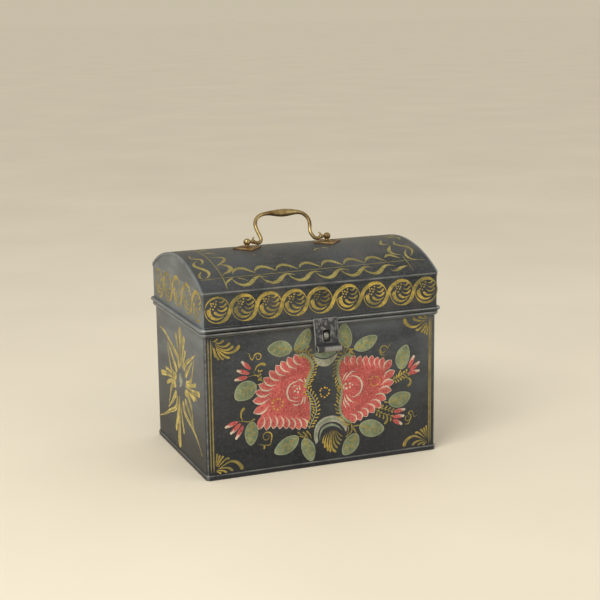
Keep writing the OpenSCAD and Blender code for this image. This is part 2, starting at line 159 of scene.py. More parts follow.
class HandleSettings(bpy.types.PropertyGroup):
    """Sizes of the brass bail"""

    wire: length("Wire radius", "Radius of the bail away from the grip", 1.95 * MM)
    grip: length("Grip radius", "Largest radius of the grip", 4.1 * MM)
    grip_top: length("Grip top", "Top of the grip above the pins, along the bail", 33.8 * MM)
    skew: length("Skew", "Shift of the arch to the left over its feet", 1.6 * MM)
    lean: FloatProperty(name="Lean", description="Angle that the bail leans back", subtype="ANGLE",
                        default=math.radians(32))
    ball: length("Ball radius", "Radius of the ball on a post", 3.7 * MM)
    plate_width: length("Plate width", "Length of a lozenge along the lid", 31 * MM)
    plate_depth: length("Plate depth", "Depth of a lozenge across the lid", 32 * MM)
    plate_top: length("Plate top", "Height of a lozenge's face over the sheet", 1.05 * MM)
    rim: length("Rim", "Half width of the moulded rim of a lozenge", 0.75 * MM)


class StageSettings(bpy.types.PropertyGroup):
    """Floor and light"""

    paper: colour("Floor", "Pale floor and background", (0.80, 0.715, 0.55))
    key: FloatProperty(name="Key", description="Power of the soft key light", unit="POWER", default=14)
    fill: FloatProperty(name="Fill", description="Power of the soft fill light", unit="POWER", default=4)
    sky: FloatProperty(name="Sky", description="Strength of the even light all round", default=0.72)


# Nodes and materials

def set_inputs(tree, node, values):
    """Sets or links a node's inputs."""
    for key, value in values.items():
        if isinstance(value, bpy.types.NodeSocket):
            tree.links.new(value, node.inputs[key])
        else:
            node.inputs[key].default_value = value


def add(tree, kind, inputs=None, **settings):
    """Adds a node, with its settings and the values or links of its inputs."""
    made = tree.nodes.new(kind)
    for name, value in settings.items():
        setattr(made, name, value)
    set_inputs(tree, made, inputs or {})
    return made


def calc(tree, operation, *values):
    """A sum on one or two values."""
    return add(tree, "ShaderNodeMath", dict(enumerate(values)), operation=operation).outputs[0]


def split(tree, place):
    """The X, Y and Z of a place."""
    return add(tree, "ShaderNodeSeparateXYZ", {0: place}).outputs


def toned(tone, *factors):
    """A colour times one factor, or times one for each of its parts."""
    return tuple(c * f for c, f in zip(tone, factors * (3 // len(factors))))


def noise(tree, place, scale, detail=4.0, stretch=(1, 1, 1)):
    """Noise in object space, its size in cycles per metre."""
    mapped = add(tree, "ShaderNodeMapping", {"Vector": place, "Scale": stretch})
    return add(tree, "ShaderNodeTexNoise",
               {"Vector": mapped.outputs[0], "Scale": scale, "Detail": detail}).outputs[0]


def ramp(tree, value, low, high, low_out=0.0, high_out=1.0):
    """A value read from one range into another, and held at its ends."""
    return add(tree, "ShaderNodeMapRange", {"Value": value, "From Min": low, "From Max": high,
                                            "To Min": low_out, "To Max": high_out}).outputs[0]


def times(tree, a, b):
    return calc(tree, "MULTIPLY", a, b)


def most(tree, a, b):
    return calc(tree, "MAXIMUM", a, b)


def blend(tree, factor, a, b):
    """Mix of two colours, each a tuple or a socket."""
    mix = add(tree, "ShaderNodeMix", {"Factor": factor}, data_type="RGBA")
    for socket, value in ((mix.inputs[6], a), (mix.inputs[7], b)):
        if isinstance(value, bpy.types.NodeSocket):
            tree.links.new(value, socket)
        else:
            socket.default_value = (*value[:3], 1)
    return mix.outputs[2]


def start_material(name):
    """A new material, its tree, its shader and the object's place."""
    made = bpy.data.materials.new(name)
    made.use_nodes = True
    tree = made.node_tree
    tree.nodes.clear()
    shader = add(tree, "ShaderNodeBsdfPrincipled")
    add(tree, "ShaderNodeOutputMaterial", {"Surface": shader.outputs[0]})
    place = add(tree, "ShaderNodeTexCoord").outputs["Object"]
    return made, tree, shader, place


def bump(tree, shader, height, distance, strength=1.0):
    """Fine relief of a surface, in metres."""
    made = add(tree, "ShaderNodeBump", {"Height": height, "Distance": distance, "Strength": strength})
    tree.links.new(made.outputs[0], shader.inputs["Normal"])


def scratches(tree, place, seed):
    """Fine short scratches that run two ways, in patches: 1 on a scratch."""
    marks = 0.0
    for turn in (seed, seed + 1.3):
        turned = add(tree, "ShaderNodeMapping", {"Vector": place, "Rotation": (turn, turn * 0.7, turn * 1.6)})
        fine = noise(tree, turned.outputs[0], 900, 2, (0.03, 1, 1))
        marks = most(tree, marks, ramp(tree, fine, 0.68, 0.73))
    return times(tree, marks, ramp(tree, noise(tree, place, 26, 3), 0.46, 0.62))


def between(tree, value, low, high, soft):
    """1 between two heights, fading over soft."""
    rise = ramp(tree, value, low - soft, low + soft)
    fall = ramp(tree, value, high - soft, high + soft, 1.0, 0.0)
    return times(tree, rise, fall)


def japan_tone(tree, place, height, tone, clouds, streaks):
    """Cloudy black japan with streaks and grain, browner high up, and darker towards its foot as painted
    shade.
    """
    base = blend(tree, ramp(tree, clouds, 0.38, 0.68), toned(tone, 0.55), toned(tone, 1.75, 1.62, 1.38))
    base = blend(tree, ramp(tree, streaks, 0.50, 0.75, 0.0, 0.5), base, toned(tone, 2.2))
    base = blend(tree, ramp(tree, noise(tree, place, 430, 4), 0.46, 0.70, 0.0, 0.46), base, toned(tone, 3.0))
    blots = ramp(tree, noise(tree, place, 42, 6), 0.54, 0.70, 0.0, 0.55)
    base = blend(tree, times(tree, blots, ramp(tree, height, 0.06, 0.14)), base, (0.092, 0.076, 0.062))
    # Painted shade: darker towards the foot
    return blend(tree, ramp(tree, height, 0.14, 0.0, 0.0, 0.42), base, toned(tone, 0.35))


def sheen_dust_mask(tree, place, parts, clouds, streaks):
    """Grey painted sheen up the ends, growing towards their top, and along the crown; and a dusty grey
    towards the top right of the front, whose rise towards the top is painted sheen too.
    """
    ends = ramp(tree, calc(tree, "ABSOLUTE", parts["X"]), CASE_X - 0.0007, CASE_X - 0.0001)
    slant = add(tree, "ShaderNodeMapping", {"Vector": place, "Rotation": (0.7, 0, 0)}).outputs[0]
    sheen = ramp(tree, noise(tree, slant, 20, 4, (1, 0.25, 1)), 0.30, 0.64, 0.45, 1.0)
    # Painted sheen: the ends grow paler towards their top, in slanting streaks
    rising_sheen = times(tree, ramp(tree, parts["Z"], 0.026, 0.148), sheen)
    rise = times(tree, ramp(tree, parts["Z"], 0.035, 0.142), ramp(tree, parts["Z"], 0.150, 0.151, 0.22, 0.0))
    # Dusty grey towards the right, which grows towards the top as painted sheen
    dust_and_rising_sheen = times(tree, times(tree, rise, ramp(tree, parts["X"], -0.12, 0.05, 0.28, 1.0)),
                 ramp(tree, clouds, 0.36, 0.62, 0.65, 1.35))
    # Painted sheen along the crown of the dome
    crown = times(tree, ramp(tree, parts["Z"], 0.192, 0.214), 0.07)
    sheen_dust_cover = most(tree, times(tree, most(tree, times(tree, ends, rising_sheen), crown), 0.90), dust_and_rising_sheen)
    return times(tree, sheen_dust_cover, ramp(tree, streaks, 0.36, 0.62, 0.74, 1.22))


def make_japan(name, tone, sheet, marks, heart):
    """Black japan over tin: cloudy, scratched, greyed by painted sheen and dusty grey, and rubbed to the tin
    along its marks, which also stand as painted highlights.

    The marks are (mask, amount), where a mask takes the tree and the parts of the place.
    Faces that look to the heart, a point in the middle at that height, are unpainted tin and stained."""
    made, tree, shader, place = start_material(name)
    parts, tin = split(tree, place), tuple(sheet.tin)
    clouds = noise(tree, place, 14, 7)
    streaks = noise(tree, place, 55, 5, (0.3, 0.3, 1.5))
    base = japan_tone(tree, place, parts["Z"], tone, clouds, streaks)
    # Painted grey sheen on the ends and the crown, and dusty grey
    base = blend(tree, sheen_dust_mask(tree, place, parts, clouds, streaks), base, tuple(sheet.sheen_and_dust))
    worn = scratches(tree, place, 0.7)
    base = blend(tree, times(tree, worn, 0.22), base, tin)
    metal = 0.0
    # Rubbed tin along the marks, which also stand as painted highlights on rims, beads, crease and corners
    rub_and_glint = ramp(tree, noise(tree, place, 160, 5, (0.3, 0.3, 1)), 0.36, 0.62, 0.30, 1.0)
    for mask, amount in marks:
        mark = times(tree, times(tree, mask(tree, parts), rub_and_glint), amount)
        base = blend(tree, mark, base, tin)
        metal = most(tree, metal, mark)
    inner = inner_face(tree, place, heart)
    stained = blend(tree, ramp(tree, clouds, 0.40, 0.62, 0.0, 0.7), tuple(sheet.inside),
                    toned(sheet.inside, 0.55, 0.50, 0.44))
    set_inputs(tree, shader, {
        "Base Color": blend(tree, inner, base, stained),
        "Metallic": most(tree, times(tree, metal, 0.6), times(tree, inner, 0.75)),
        "Roughness": ramp(tree, clouds, 0.3, 0.7, 0.36, 0.52),
        "Specular IOR Level": 0.36, "Specular Tint": (0.82, 0.93, 1.0, 1)})
    bump(tree, shader, calc(tree, "SUBTRACT", streaks, worn), 0.00006, 0.6)
    return made


def inner_face(tree, place, heart):
    """1 on faces that look towards the middle of the box at the given height."""
    turned = add(tree, "ShaderNodeTexCoord").outputs["Normal"]
    away = add(tree, "ShaderNodeVectorMath", {0: place, 1: (0, 0, heart)}, operation="SUBTRACT").outputs[0]
    facing = add(tree, "ShaderNodeVectorMath", {0: turned, 1: away}, operation="DOT_PRODUCT").outputs["Value"]
    return ramp(tree, facing, -0.002, -0.006)


def height_mark(low, high, soft=0.0003):
    """Mask of a level line, from height to height."""
    return lambda tree, parts: between(tree, parts["Z"], low, high, soft)


def corner_mark(half_x, half_y, radius):
    """Mask of the four upright corners of a box with rounded corners."""
    def mask(tree, parts):
        off = [calc(tree, "SUBTRACT", calc(tree, "ABSOLUTE", parts[axis]), half - radius)
               for axis, half in (("X", half_x), ("Y", half_y))]
        return ramp(tree, calc(tree, "MINIMUM", *off), radius * 0.50, radius * 0.62)
    return mask


def arch_mark(low, high, wall):
    """Mask of an arched line on the ends of the lid, from radius to radius round the dome's axis."""
    def mask(tree, parts):
        rise = calc(tree, "SUBTRACT", parts["Z"], LID_TOP_HIGH.z - DOME_RADIUS)
        reach = add(tree, "ShaderNodeCombineXYZ", {0: parts["Y"], 1: rise}).outputs[0]
        far = add(tree, "ShaderNodeVectorMath", {0: reach}, operation="LENGTH").outputs["Value"]
        across = calc(tree, "ABSOLUTE", parts["X"])
        return times(tree, between(tree, far, low, high, 0.0003), ramp(tree, across, wall - 0.0006, wall))
    return mask


def make_tin(name, tone):
    """Dull tin over iron, stained and scratched."""
    made, tree, shader, place = start_material(name)
    clouds = noise(tree, place, 55, 6)
    fine = noise(tree, place, 420, 3)
    base = blend(tree, ramp(tree, clouds, 0.36, 0.60, 0.55, 0.0), tone, toned(tone, 0.28))
    base = blend(tree, ramp(tree, fine, 0.60, 0.75, 0.0, 0.4), base, (0.12, 0.075, 0.045))
    base = blend(tree, times(tree, scratches(tree, place, 1.9), 0.5), base,
                 tuple(min(1, c * 1.7) for c in tone))
    set_inputs(tree, shader, {"Base Color": base, "Metallic": 0.85,
                              "Roughness": ramp(tree, clouds, 0.35, 0.65, 0.52, 0.30)})
    bump(tree, shader, fine, 0.00004, 0.5)
    return made


def make_hasp(name, sheet):
    """Black plate of the hasp: painted highlights, partly rubbed tin, along its edges and on the right of its
    rolled lip, and patchy round the slot.
    """
    made, tree, shader, place = start_material(name)
    parts = split(tree, place)
    across = calc(tree, "ABSOLUTE", parts["X"])
    patches = noise(tree, place, 260, 6, (1, 1, 0.6))
    fine = noise(tree, place, 640, 5, (1, 1, 0.4))
    near = times(tree, ramp(tree, across, 0.0030, 0.0115, 1.0, 0.4), ramp(tree, parts["Z"], 0.1285, 0.1330))
    rubbed = times(tree,
                   times(tree, ramp(tree, patches, 0.47, 0.56), ramp(tree, fine, 0.36, 0.56, 0.35, 1.0)),
                   near)
    # Painted highlights, partly rubbed tin: thin light lines down the left and right edges and along the top
    left = ramp(tree, parts["X"], -0.0119, -0.0124)
    right = ramp(tree, parts["X"], 0.0121, 0.0125, 0.0, 0.45)
    rim = most(tree, most(tree, left, right), times(tree, ramp(tree, parts["Z"], 0.1530, 0.1537), 0.8))
    # Painted highlight on the rolled lip, from a little left of the middle to the right; its left end stays
    # dark
    lip = times(tree, ramp(tree, parts["Z"], 0.1262, 0.1274, 1.0, 0.0),
                ramp(tree, parts["X"], -0.0065, -0.0035))
    # Rubbed tin round the slot, with the painted highlights of the edges and the lip
    bare_and_lit = most(tree, most(tree, times(tree, rubbed, 0.62), times(tree, rim, 0.85)),
                times(tree, lip, ramp(tree, fine, 0.3, 0.6, 0.45, 0.85)))
    base = blend(tree, bare_and_lit, toned(sheet.japan, 1.2), toned(sheet.tin, 1.1))
    base = blend(tree, ramp(tree, fine, 0.56, 0.72, 0.0, 0.6), base, (0.045, 0.042, 0.04))
    set_inputs(tree, shader, {"Base Color": base, "Metallic": times(tree, bare_and_lit, 0.8),
                              "Roughness": ramp(tree, patches, 0.35, 0.65, 0.50, 0.38)})
    bump(tree, shader, patches, 0.00010, 0.7)
    return made


def make_brass(name, tone, sheet):
    """Aged brass or bronze, brown where it isn't handled."""
    made, tree, shader, place = start_material(name)
    clouds = noise(tree, place, 90, 6)
    fine = noise(tree, place, 700, 3)
    dark = tuple(sheet.brass_dark)
    base = blend(tree, ramp(tree, clouds, 0.42, 0.64), tone, dark)
    base = blend(tree, ramp(tree, fine, 0.62, 0.8, 0.0, 0.5), base, dark)
    set_inputs(tree, shader, {"Base Color": base, "Metallic": 0.88,
                              "Roughness": ramp(tree, clouds, 0.35, 0.7, 0.28, 0.50)})
    bump(tree, shader, fine, 0.00003, 0.5)
    return made


def make_paint(name, tone, spread=0.35, worn=0.18, shade=None, flecks=None):
    """Oil paint in brush strokes: streaky, mottled, and rubbed down to the japan in places."""
    made, tree, shader, place = start_material(name)
    clouds = noise(tree, place, 75, 5)
    streak = noise(tree, place, 420, 4)
    light = tuple(min(1.0, c * (1 + spread)) for c in tone)
    deep = shade or toned(tone, 1 - spread)
    base = blend(tree, ramp(tree, clouds, 0.36, 0.64), deep, light)
    base = blend(tree, ramp(tree, streak, 0.48, 0.66, 0.0, 0.65), base, deep)
    base = blend(tree, ramp(tree, noise(tree, place, 1500, 2), 0.50, 0.75, 0.0, 0.45), base, light)
    if flecks:
        spots = noise(tree, place, 620, 4)
        base = blend(tree, ramp(tree, spots, 0.55, 0.66, 0.0, 0.8), base, flecks[0])
        base = blend(tree, ramp(tree, spots, 0.44, 0.34, 0.0, 0.6), base, flecks[1])
    gone = times(tree, ramp(tree, noise(tree, place, 340, 6), 0.54, 0.68),
                 ramp(tree, noise(tree, place, 28, 3), 0.42, 0.62, 0.25, 1.0))
    base = blend(tree, times(tree, gone, worn), base, tuple(bpy.context.scene.box_sheet.japan))
    set_inputs(tree, shader, {"Base Color": base, "Roughness": ramp(tree, clouds, 0.3, 0.7, 0.44, 0.60),
                              "Specular IOR Level": 0.35})
    bump(tree, shader, streak, 0.00005, 0.5)
    return made


def finish(name, maker, *given, **named):
    """The material of that name, made the first time that it is asked for."""
    return bpy.data.materials.get(name) or maker(name, *given, **named)


# Brush strokes

def smooth_line(points, count):
    """Points along a smooth line through the given ones, spread evenly along its length."""
    path = [Vector(p) for p in points]
    if len(path) == 2:
        path.insert(1, (path[0] + path[1]) / 2)
    ends = [2 * path[0] - path[1]] + path + [2 * path[-1] - path[-2]]
    fine = []
    for i in range(1, len(ends) - 2):
        a, b, c, d = ends[i - 1:i + 3]
        for k in range(12):
            t = k / 12
            fine.append(0.5 * (2 * b + (c - a) * t + (2 * a - 5 * b + 4 * c - d) * t * t
                               + (3 * b - a - 3 * c + d) * t ** 3))
    fine.append(path[-1])
    far = [0.0]
    for a, b in zip(fine, fine[1:]):
        far.append(far[-1] + (b - a).length)
    line, k = [], 0
    for i in range(count):
        goal = far[-1] * i / (count - 1)
        while k < len(far) - 2 and far[k + 1] < goal:
            k += 1
        step = far[k + 1] - far[k]
        line.append(fine[k].lerp(fine[k + 1], (goal - far[k]) / step if step else 0))
    return line, far[-1]


def comma_width(t, half, total):
    """Round loaded head at the start, drawn out to a fine tail."""
    head = min(0.45, 1.15 * half / total)
    if t < head:
        return half * math.sqrt(max(0.02, 1 - (1 - t / head) ** 2))
    return half * (0.06 + 0.94 * (1 - (t - head) / (1 - head)) ** 0.85)


def line_width(t, half, total):
    """Even line with short tapered ends."""
    end = min(0.3, 2.5 * half / total)
    return half * min(1.0, 0.15 + 0.85 * min(t, 1 - t) / end)


def swell_width(t, half, total):
    """Fine at both ends, full in the middle."""
    return half * (0.10 + 0.90 * math.sin(math.pi * t) ** 1.3)


def link_width(t, half, total):
    """A thin ring at both ends, and full where one roundel passes to the next."""
    rise = min(1.0, max(0.0, (t - 0.24) / 0.17))
    fall = min(1.0, max(0.0, (0.91 - t) / 0.24))
    return half * (0.21 + 0.79 * math.sin(0.5 * math.pi * min(rise, fall)) ** 1.2)


def leaf_width(t, half, total):
    """Leaf, pointed at both ends and fullest before its middle."""
    return half * (0.02 + 0.98 * math.sin(math.pi * t ** 0.94) ** 0.60)


def petal_width(t, half, total):
    """Petal, fine at its root and drawn to a blunt point at its tip."""
    if t > 0.60:
        return half * max(0.04, 1 - ((t - 0.60) / 0.40) ** 1.9) ** 0.80
    return half * (0.25 + 0.75 * math.sin(0.5 * math.pi * t / 0.60))


class Strokes:
    """A sheet of brush strokes in one paint. Sizes are in millimetres on the painted face."""

    def __init__(self):
        self.lines = []
        self.spots = []
        self.fills = []

    def stroke(self, points, half, width=comma_width, layer=0, count=14):
        line, total = smooth_line(points, count)
        halves = [width(i / (count - 1), half, total) for i in range(count)]
        self.lines.append((line, halves, layer))

    def dot(self, u, v, half, layer=0):
        self.spots.append((u, v, half, layer))

    def fill(self, outline, layer=0):
        self.fills.append((outline, layer))

    def mirrored(self):
        """The same strokes turned left to right."""
        other = Strokes()
        other.lines = [([Vector((-p.x, p.y)) for p in line], halves, layer)
                       for line, halves, layer in self.lines]
        other.spots = [(-u, v, half, layer) for u, v, half, layer in self.spots]
        other.fills = [([(-u, v) for u, v in outline], layer) for outline, layer in self.fills]
        return other


def new_tree(name, inputs):
    """A geometry node tree and what its inputs give inside it. Inputs are (name, type, default, least)."""
    tree = bpy.data.node_groups.new(name, "GeometryNodeTree")
    tree.interface.new_socket(name="Geometry", in_out="INPUT", socket_type="NodeSocketGeometry")
    for label, kind, *given in inputs:
        socket = tree.interface.new_socket(name=label, in_out="INPUT", socket_type=f"NodeSocket{kind}")
        for key, value in zip(("default_value", "min_value"), given):
            setattr(socket, key, value)
    tree.interface.new_socket(name="Geometry", in_out="OUTPUT", socket_type="NodeSocketGeometry")
    return tree, add(tree, "NodeGroupInput").outputs


def attribute(tree, name):
    return add(tree, "GeometryNodeInputNamedAttribute", {"Name": name}, data_type="FLOAT").outputs[0]


def layer_lift(tree, film):
    """How high the layer of a stroke or dab lies over the face."""
    return times(tree, times(tree, attribute(tree, "layer"), film), LAYER)


def sweep(tree, given, half):
    """The given lines, swept with a round section of their half width and closed at their ends."""
    curve = add(tree, "GeometryNodeMeshToCurve", {"Mesh": given["Geometry"]})
    section = add(tree, "GeometryNodeCurvePrimitiveCircle", {"Resolution": given["Sides"], "Radius": 1.0})
    return add(tree, "GeometryNodeCurveToMesh",
               {"Curve": curve.outputs[0], "Profile Curve": section.outputs[0], "Scale": half,
                "Fill Caps": True}).outputs[0]


def wrap_nodes(tree, geometry, radius):
    """Bends geometry that lies on the XY plane round a cylinder along X; a radius of 0 leaves it flat."""
    place = add(tree, "GeometryNodeInputPosition").outputs[0]
    parts = split(tree, place)
    angle = calc(tree, "DIVIDE", parts[1], most(tree, radius, 0.001))
    reach = calc(tree, "ADD", radius, parts[2])
    bent = add(tree, "ShaderNodeCombineXYZ", {0: parts[0], 1: times(tree, reach, calc(tree, "SINE", angle)),
                                              2: times(tree, reach, calc(tree, "COSINE", angle))})
    is_bent = add(tree, "FunctionNodeCompare", {0: radius, 1: 0.0}, data_type="FLOAT",
                  operation="GREATER_THAN")
    chosen = add(tree, "GeometryNodeSwitch",
                 {"Switch": is_bent.outputs[0], "False": place, "True": bent.outputs[0]}, input_type="VECTOR")
    return add(tree, "GeometryNodeSetPosition",
               {"Geometry": geometry, "Position": chosen.outputs[0]}).outputs[0]


def close_tree(tree, geometry, material):
    """Ends a tree in Realize Instances and Set Material."""
    real = add(tree, "GeometryNodeRealizeInstances", {0: geometry}).outputs[0]
    painted = add(tree, "GeometryNodeSetMaterial", {"Geometry": real, "Material": material}).outputs[0]
    add(tree, "NodeGroupOutput", {0: painted})


def stroke_tree(name):
    """Sweeps lines with a half width into low closed brush strokes."""
    tree, given = new_tree(name,
                           (("Sides", "Int", 8, 3), ("Film", "Float", 0.0001), ("Bend radius", "Float", 0.0),
                            ("Paint", "Material")))
    half = attribute(tree, "half_width")
    swept = sweep(tree, given, half)
    parts = split(tree, add(tree, "GeometryNodeInputPosition").outputs[0])
    low = times(tree, calc(tree, "DIVIDE", parts[2], half), given["Film"])
    high = calc(tree, "ADD", low, layer_lift(tree, given["Film"]))
    lowered = add(tree, "ShaderNodeCombineXYZ", {0: parts[0], 1: parts[1], 2: high}).outputs[0]
    pressed = add(tree, "GeometryNodeSetPosition", {"Geometry": swept, "Position": lowered}).outputs[0]
    close_tree(tree, wrap_nodes(tree, pressed, given["Bend radius"]), given["Paint"])
    return tree


def bar_tree(name):
    """Sweeps lines with a half width into round closed bars."""
    tree, given = new_tree(name, (("Sides", "Int", 24, 3), ("Metal", "Material")))
    close_tree(tree, sweep(tree, given, attribute(tree, "half_width")), given["Metal"])
    return tree


def spot_tree(name):
    """Sets a low round dab of paint on every point."""
    tree, given = new_tree(name, (("Film", "Float", 0.0001), ("Unevenness", "Float", 0.2), ("Seed", "Int", 4),
                                  ("Bend radius", "Float", 0.0), ("Paint", "Material")))
    half = attribute(tree, "half_width")
    lift = add(tree, "ShaderNodeCombineXYZ", {2: layer_lift(tree, given["Film"])}).outputs[0]
    lifted = add(tree, "GeometryNodeSetPosition", {"Geometry": given["Geometry"], "Offset": lift}).outputs[0]
    low = calc(tree, "SUBTRACT", 1.0, given["Unevenness"])
    high = calc(tree, "ADD", 1.0, given["Unevenness"])
    uneven = add(tree, "FunctionNodeRandomValue", {2: low, 3: high, "Seed": given["Seed"]}, data_type="FLOAT")
    size = add(tree, "ShaderNodeCombineXYZ", {0: times(tree, half, uneven.outputs[1]), 1: half,
                                              2: times(tree, given["Film"], 1.4)}).outputs[0]
    dab = add(tree, "GeometryNodeMeshUVSphere", {"Segments": 12, "Rings": 6, "Radius": 1.0}).outputs[0]
    set_out = add(tree, "GeometryNodeInstanceOnPoints", {"Points": lifted, "Instance": dab, "Scale": size})
    real = add(tree, "GeometryNodeRealizeInstances", {0: set_out.outputs[0]}).outputs[0]
    close_tree(tree, wrap_nodes(tree, real, given["Bend radius"]), given["Paint"])
    return tree


TREES = {"Brush strokes": stroke_tree, "Round bars": bar_tree, "Dabs": spot_tree}


def run_tree(name, mesh, kind, values):
    """A plain mesh that a node tree makes of a mesh, with its inputs set by identifier."""
    holder = bpy.data.objects.new(name, mesh)
    bpy.context.scene.collection.objects.link(holder)
    modifier = holder.modifiers.new("tree", "NODES")
    tree = modifier.node_group = bpy.data.node_groups.get(kind) or TREES[kind](kind)
    sockets = {s.name: s.identifier for s in tree.interface.items_tree
               if s.item_type == "SOCKET" and s.in_out == "INPUT"}
    for key, value in values.items():
        modifier[sockets[key]] = value
    bpy.context.view_layer.update()
    made = bpy.data.meshes.new_from_object(holder.evaluated_get(bpy.context.evaluated_depsgraph_get()))
    bpy.data.objects.remove(holder)
    if not made.vertices:
        raise RuntimeError(f"{name} came out empty")
    return made


def fill_mesh(outline, layer, film, bend):
    """A low closed pad of paint inside an outline, with rounded edges."""
    ring, _ = smooth_line(outline + [outline[0]], max(48, 4 * len(outline)))
    ring = ring[:-1]
    count = len(ring)
    area = sum(a.x * b.y - b.x * a.y for a, b in zip(ring, ring[1:] + ring[:1]))
    if area < 0:
        ring.reverse()
    out = []
    for i, p in enumerate(ring):
        run = (ring[(i + 1) % count] - ring[i - 1]).normalized()
        out.append(Vector((run.y, -run.x)))
    base = LAYER * layer * film
    # How far each ring of the edge stands out, in millimetres, and how high it lies
    levels = [(0.0, -film), (0.0, base), (-0.35, base + 0.7 * film), (-0.8, base + film)]
    verts, faces = [], []
    for inset, z in levels:
        for p, n in zip(ring, out):
            q = (p + n * inset) * MM
            verts.append((q.x, q.y, z))
    for k in range(len(levels) - 1):
        for i in range(count):
            j = (i + 1) % count
            faces.append((k * count + i, k * count + j, (k + 1) * count + j, (k + 1) * count + i))
    top = [Vector(v) for v in verts[-count:]]
    for tri in tessellate_polygon([top]):
        a, b, c = (verts[-count:][k] for k in tri)
        turn = (b[0] - a[0]) * (c[1] - a[1]) - (b[1] - a[1]) * (c[0] - a[0])
        up = tri if turn > 0 else tri[::-1]
        faces.append(tuple((len(levels) - 1) * count + k for k in up))
        faces.append(tuple(up[::-1]))
    if bend:
        verts = [(x, (bend + z) * math.sin(y / bend), (bend + z) * math.cos(y / bend)) for x, y, z in verts]
    mesh = bpy.data.meshes.new("pad")
    mesh.from_pydata(verts, [], faces)
    return mesh


def line_mesh(lines):
    """Edges with a half width and a layer, for the stroke tree."""
    verts, edges, halves, layers = [], [], [], []
    for line, widths, layer in lines:
        start = len(verts)
        verts += [(p.x * MM, p.y * MM, 0) for p in line]
        edges += [(start + i, start + i + 1) for i in range(len(line) - 1)]
        halves += [max(w, 0.02) * MM for w in widths]
        layers += [layer] * len(line)
    return points_mesh("strokes", verts, edges, halves, layers)


def points_mesh(name, verts, edges, halves, layers):
    """Points and edges with a half width and a layer at every point."""
    mesh = bpy.data.meshes.new(name)
    mesh.from_pydata(verts, edges, [])
    mesh.attributes.new("half_width", "FLOAT", "POINT").data.foreach_set("value", halves)
    mesh.attributes.new("layer", "FLOAT", "POINT").data.foreach_set("value", layers)
    return mesh


def lay_paint(name, strokes, material, body, place, bend=0.0):
    """Turns a sheet of strokes into one piece on a face of the box, riding on its body."""
    paint = bpy.context.scene.box_paint
    shared = {"Film": paint.film, "Bend radius": bend, "Paint": material}
    parts = []
    if strokes.lines:
        parts.append(run_tree(name, line_mesh(strokes.lines), "Brush strokes",
                              {"Sides": paint.sides, **shared}))
    if strokes.spots:
        verts = [(u * MM, v * MM, 0) for u, v, _, _ in strokes.spots]
        mesh = points_mesh("dabs", verts, [], [h * MM for _, _, h, _ in strokes.spots],
                           [k for _, _, _, k in strokes.spots])
        parts.append(run_tree(name, mesh, "Dabs", {"Unevenness": 0.18, "Seed": 7, **shared}))
    parts += [fill_mesh(outline, layer, paint.film, bend) for outline, layer in strokes.fills]
    joined = bmesh.new()
    for part in parts:
        joined.from_mesh(part)
        bpy.data.meshes.remove(part)
    joined.transform(place)
    mesh = bpy.data.meshes.new(name)
    joined.to_mesh(mesh)
    joined.free()
    return put(name, mesh, material, body, smooth=False)


def put(name, mesh, material, body, smooth=True):
    """Links a finished mesh as a piece that rides on a body."""
    for old in list(mesh.attributes):
        if old.name in ("half_width", "layer"):
            mesh.attributes.remove(old)
    mesh.materials.clear()
    mesh.materials.append(material)
    for face in mesh.polygons:
        face.use_smooth = smooth
        face.material_index = 0
    piece = bpy.data.objects.new(name, mesh)
    bpy.context.scene.collection.objects.link(piece)
    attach(piece, body)
    return piece


def face_place(side, off):
    """Matrix that stands a painted sheet on a side of the box: u to the right, v up, the film outwards."""
    turns = {"front": ((1, 0, 0), (0, 0, -1), (0, 1, 0)),
             "left": ((0, 0, -1), (-1, 0, 0), (0, 1, 0)),
             "right": ((0, 0, 1), (1, 0, 0), (0, 1, 0))}
    shift = {"front": (0, -off, 0), "left": (-off, 0, 0), "right": (off, 0, 0)}
    return Matrix.Translation(shift[side]) @ Matrix(turns[side]).to_4x4()


# Painted ornament, in millimetres: u to the right and v up on the painted face

def axis(base, tip):
    """Both ends of a stroke, the way between them, and the direction to its left."""
    a, b = Vector(base), Vector(tip)
    run = b - a
    return a, b, run, Vector((-run.y, run.x)).normalized()


def heading(line, k):
    """Direction of a line at one of its points, and the direction to its left."""
    run = (line[min(k + 1, len(line) - 1)] - line[k - 1]).normalized()
    return run, Vector((-run.y, run.x))


def leaves(sheets, spots):
    """Leaves, each from (base, tip, half width, bend): a pale margin, a green blade and its veins."""
    for n, (base, tip, half, bend) in enumerate(spots):
        a, b, run, side = axis(base, tip)
        mid = (a + b) / 2 + side * bend
        sheets["leaf_edge"].stroke([a, mid, b], half, leaf_width, 0, 30)
        sheets["leaf"].stroke([a.lerp(b, 0.04), mid, a.lerp(b, 0.95)], half * 0.90, leaf_width, 1, 30)
        sheets["leaf_vein"].stroke([a, mid, a.lerp(b, 0.84)], 0.72, comma_width, 2.4, 14)
        for k in range(7):
            for turn in (-1, 1):
                t = 0.15 + 0.088 * k + 0.022 * math.sin(5 * k + 3 * n + turn)
                foot = a.lerp(b, t) + side * bend * 4 * t * (1 - t)
                reach = half * (0.64 - 0.5 * abs(t - 0.42) + 0.10 * math.sin(7 * k + 2 * n - turn)) * turn
                end = foot + side * reach + run * (0.12 + 0.03 * math.sin(3 * k + n))
                paint = ("leaf_vein", "leaf_blue", "leaf_vein", "leaf_edge")[(k + turn + n) % 4]
                sheets[paint].stroke([foot + side * 0.5 * turn, foot.lerp(end, 0.5) + run * 0.02, end], 0.52,
                                     swell_width, 2, 8)


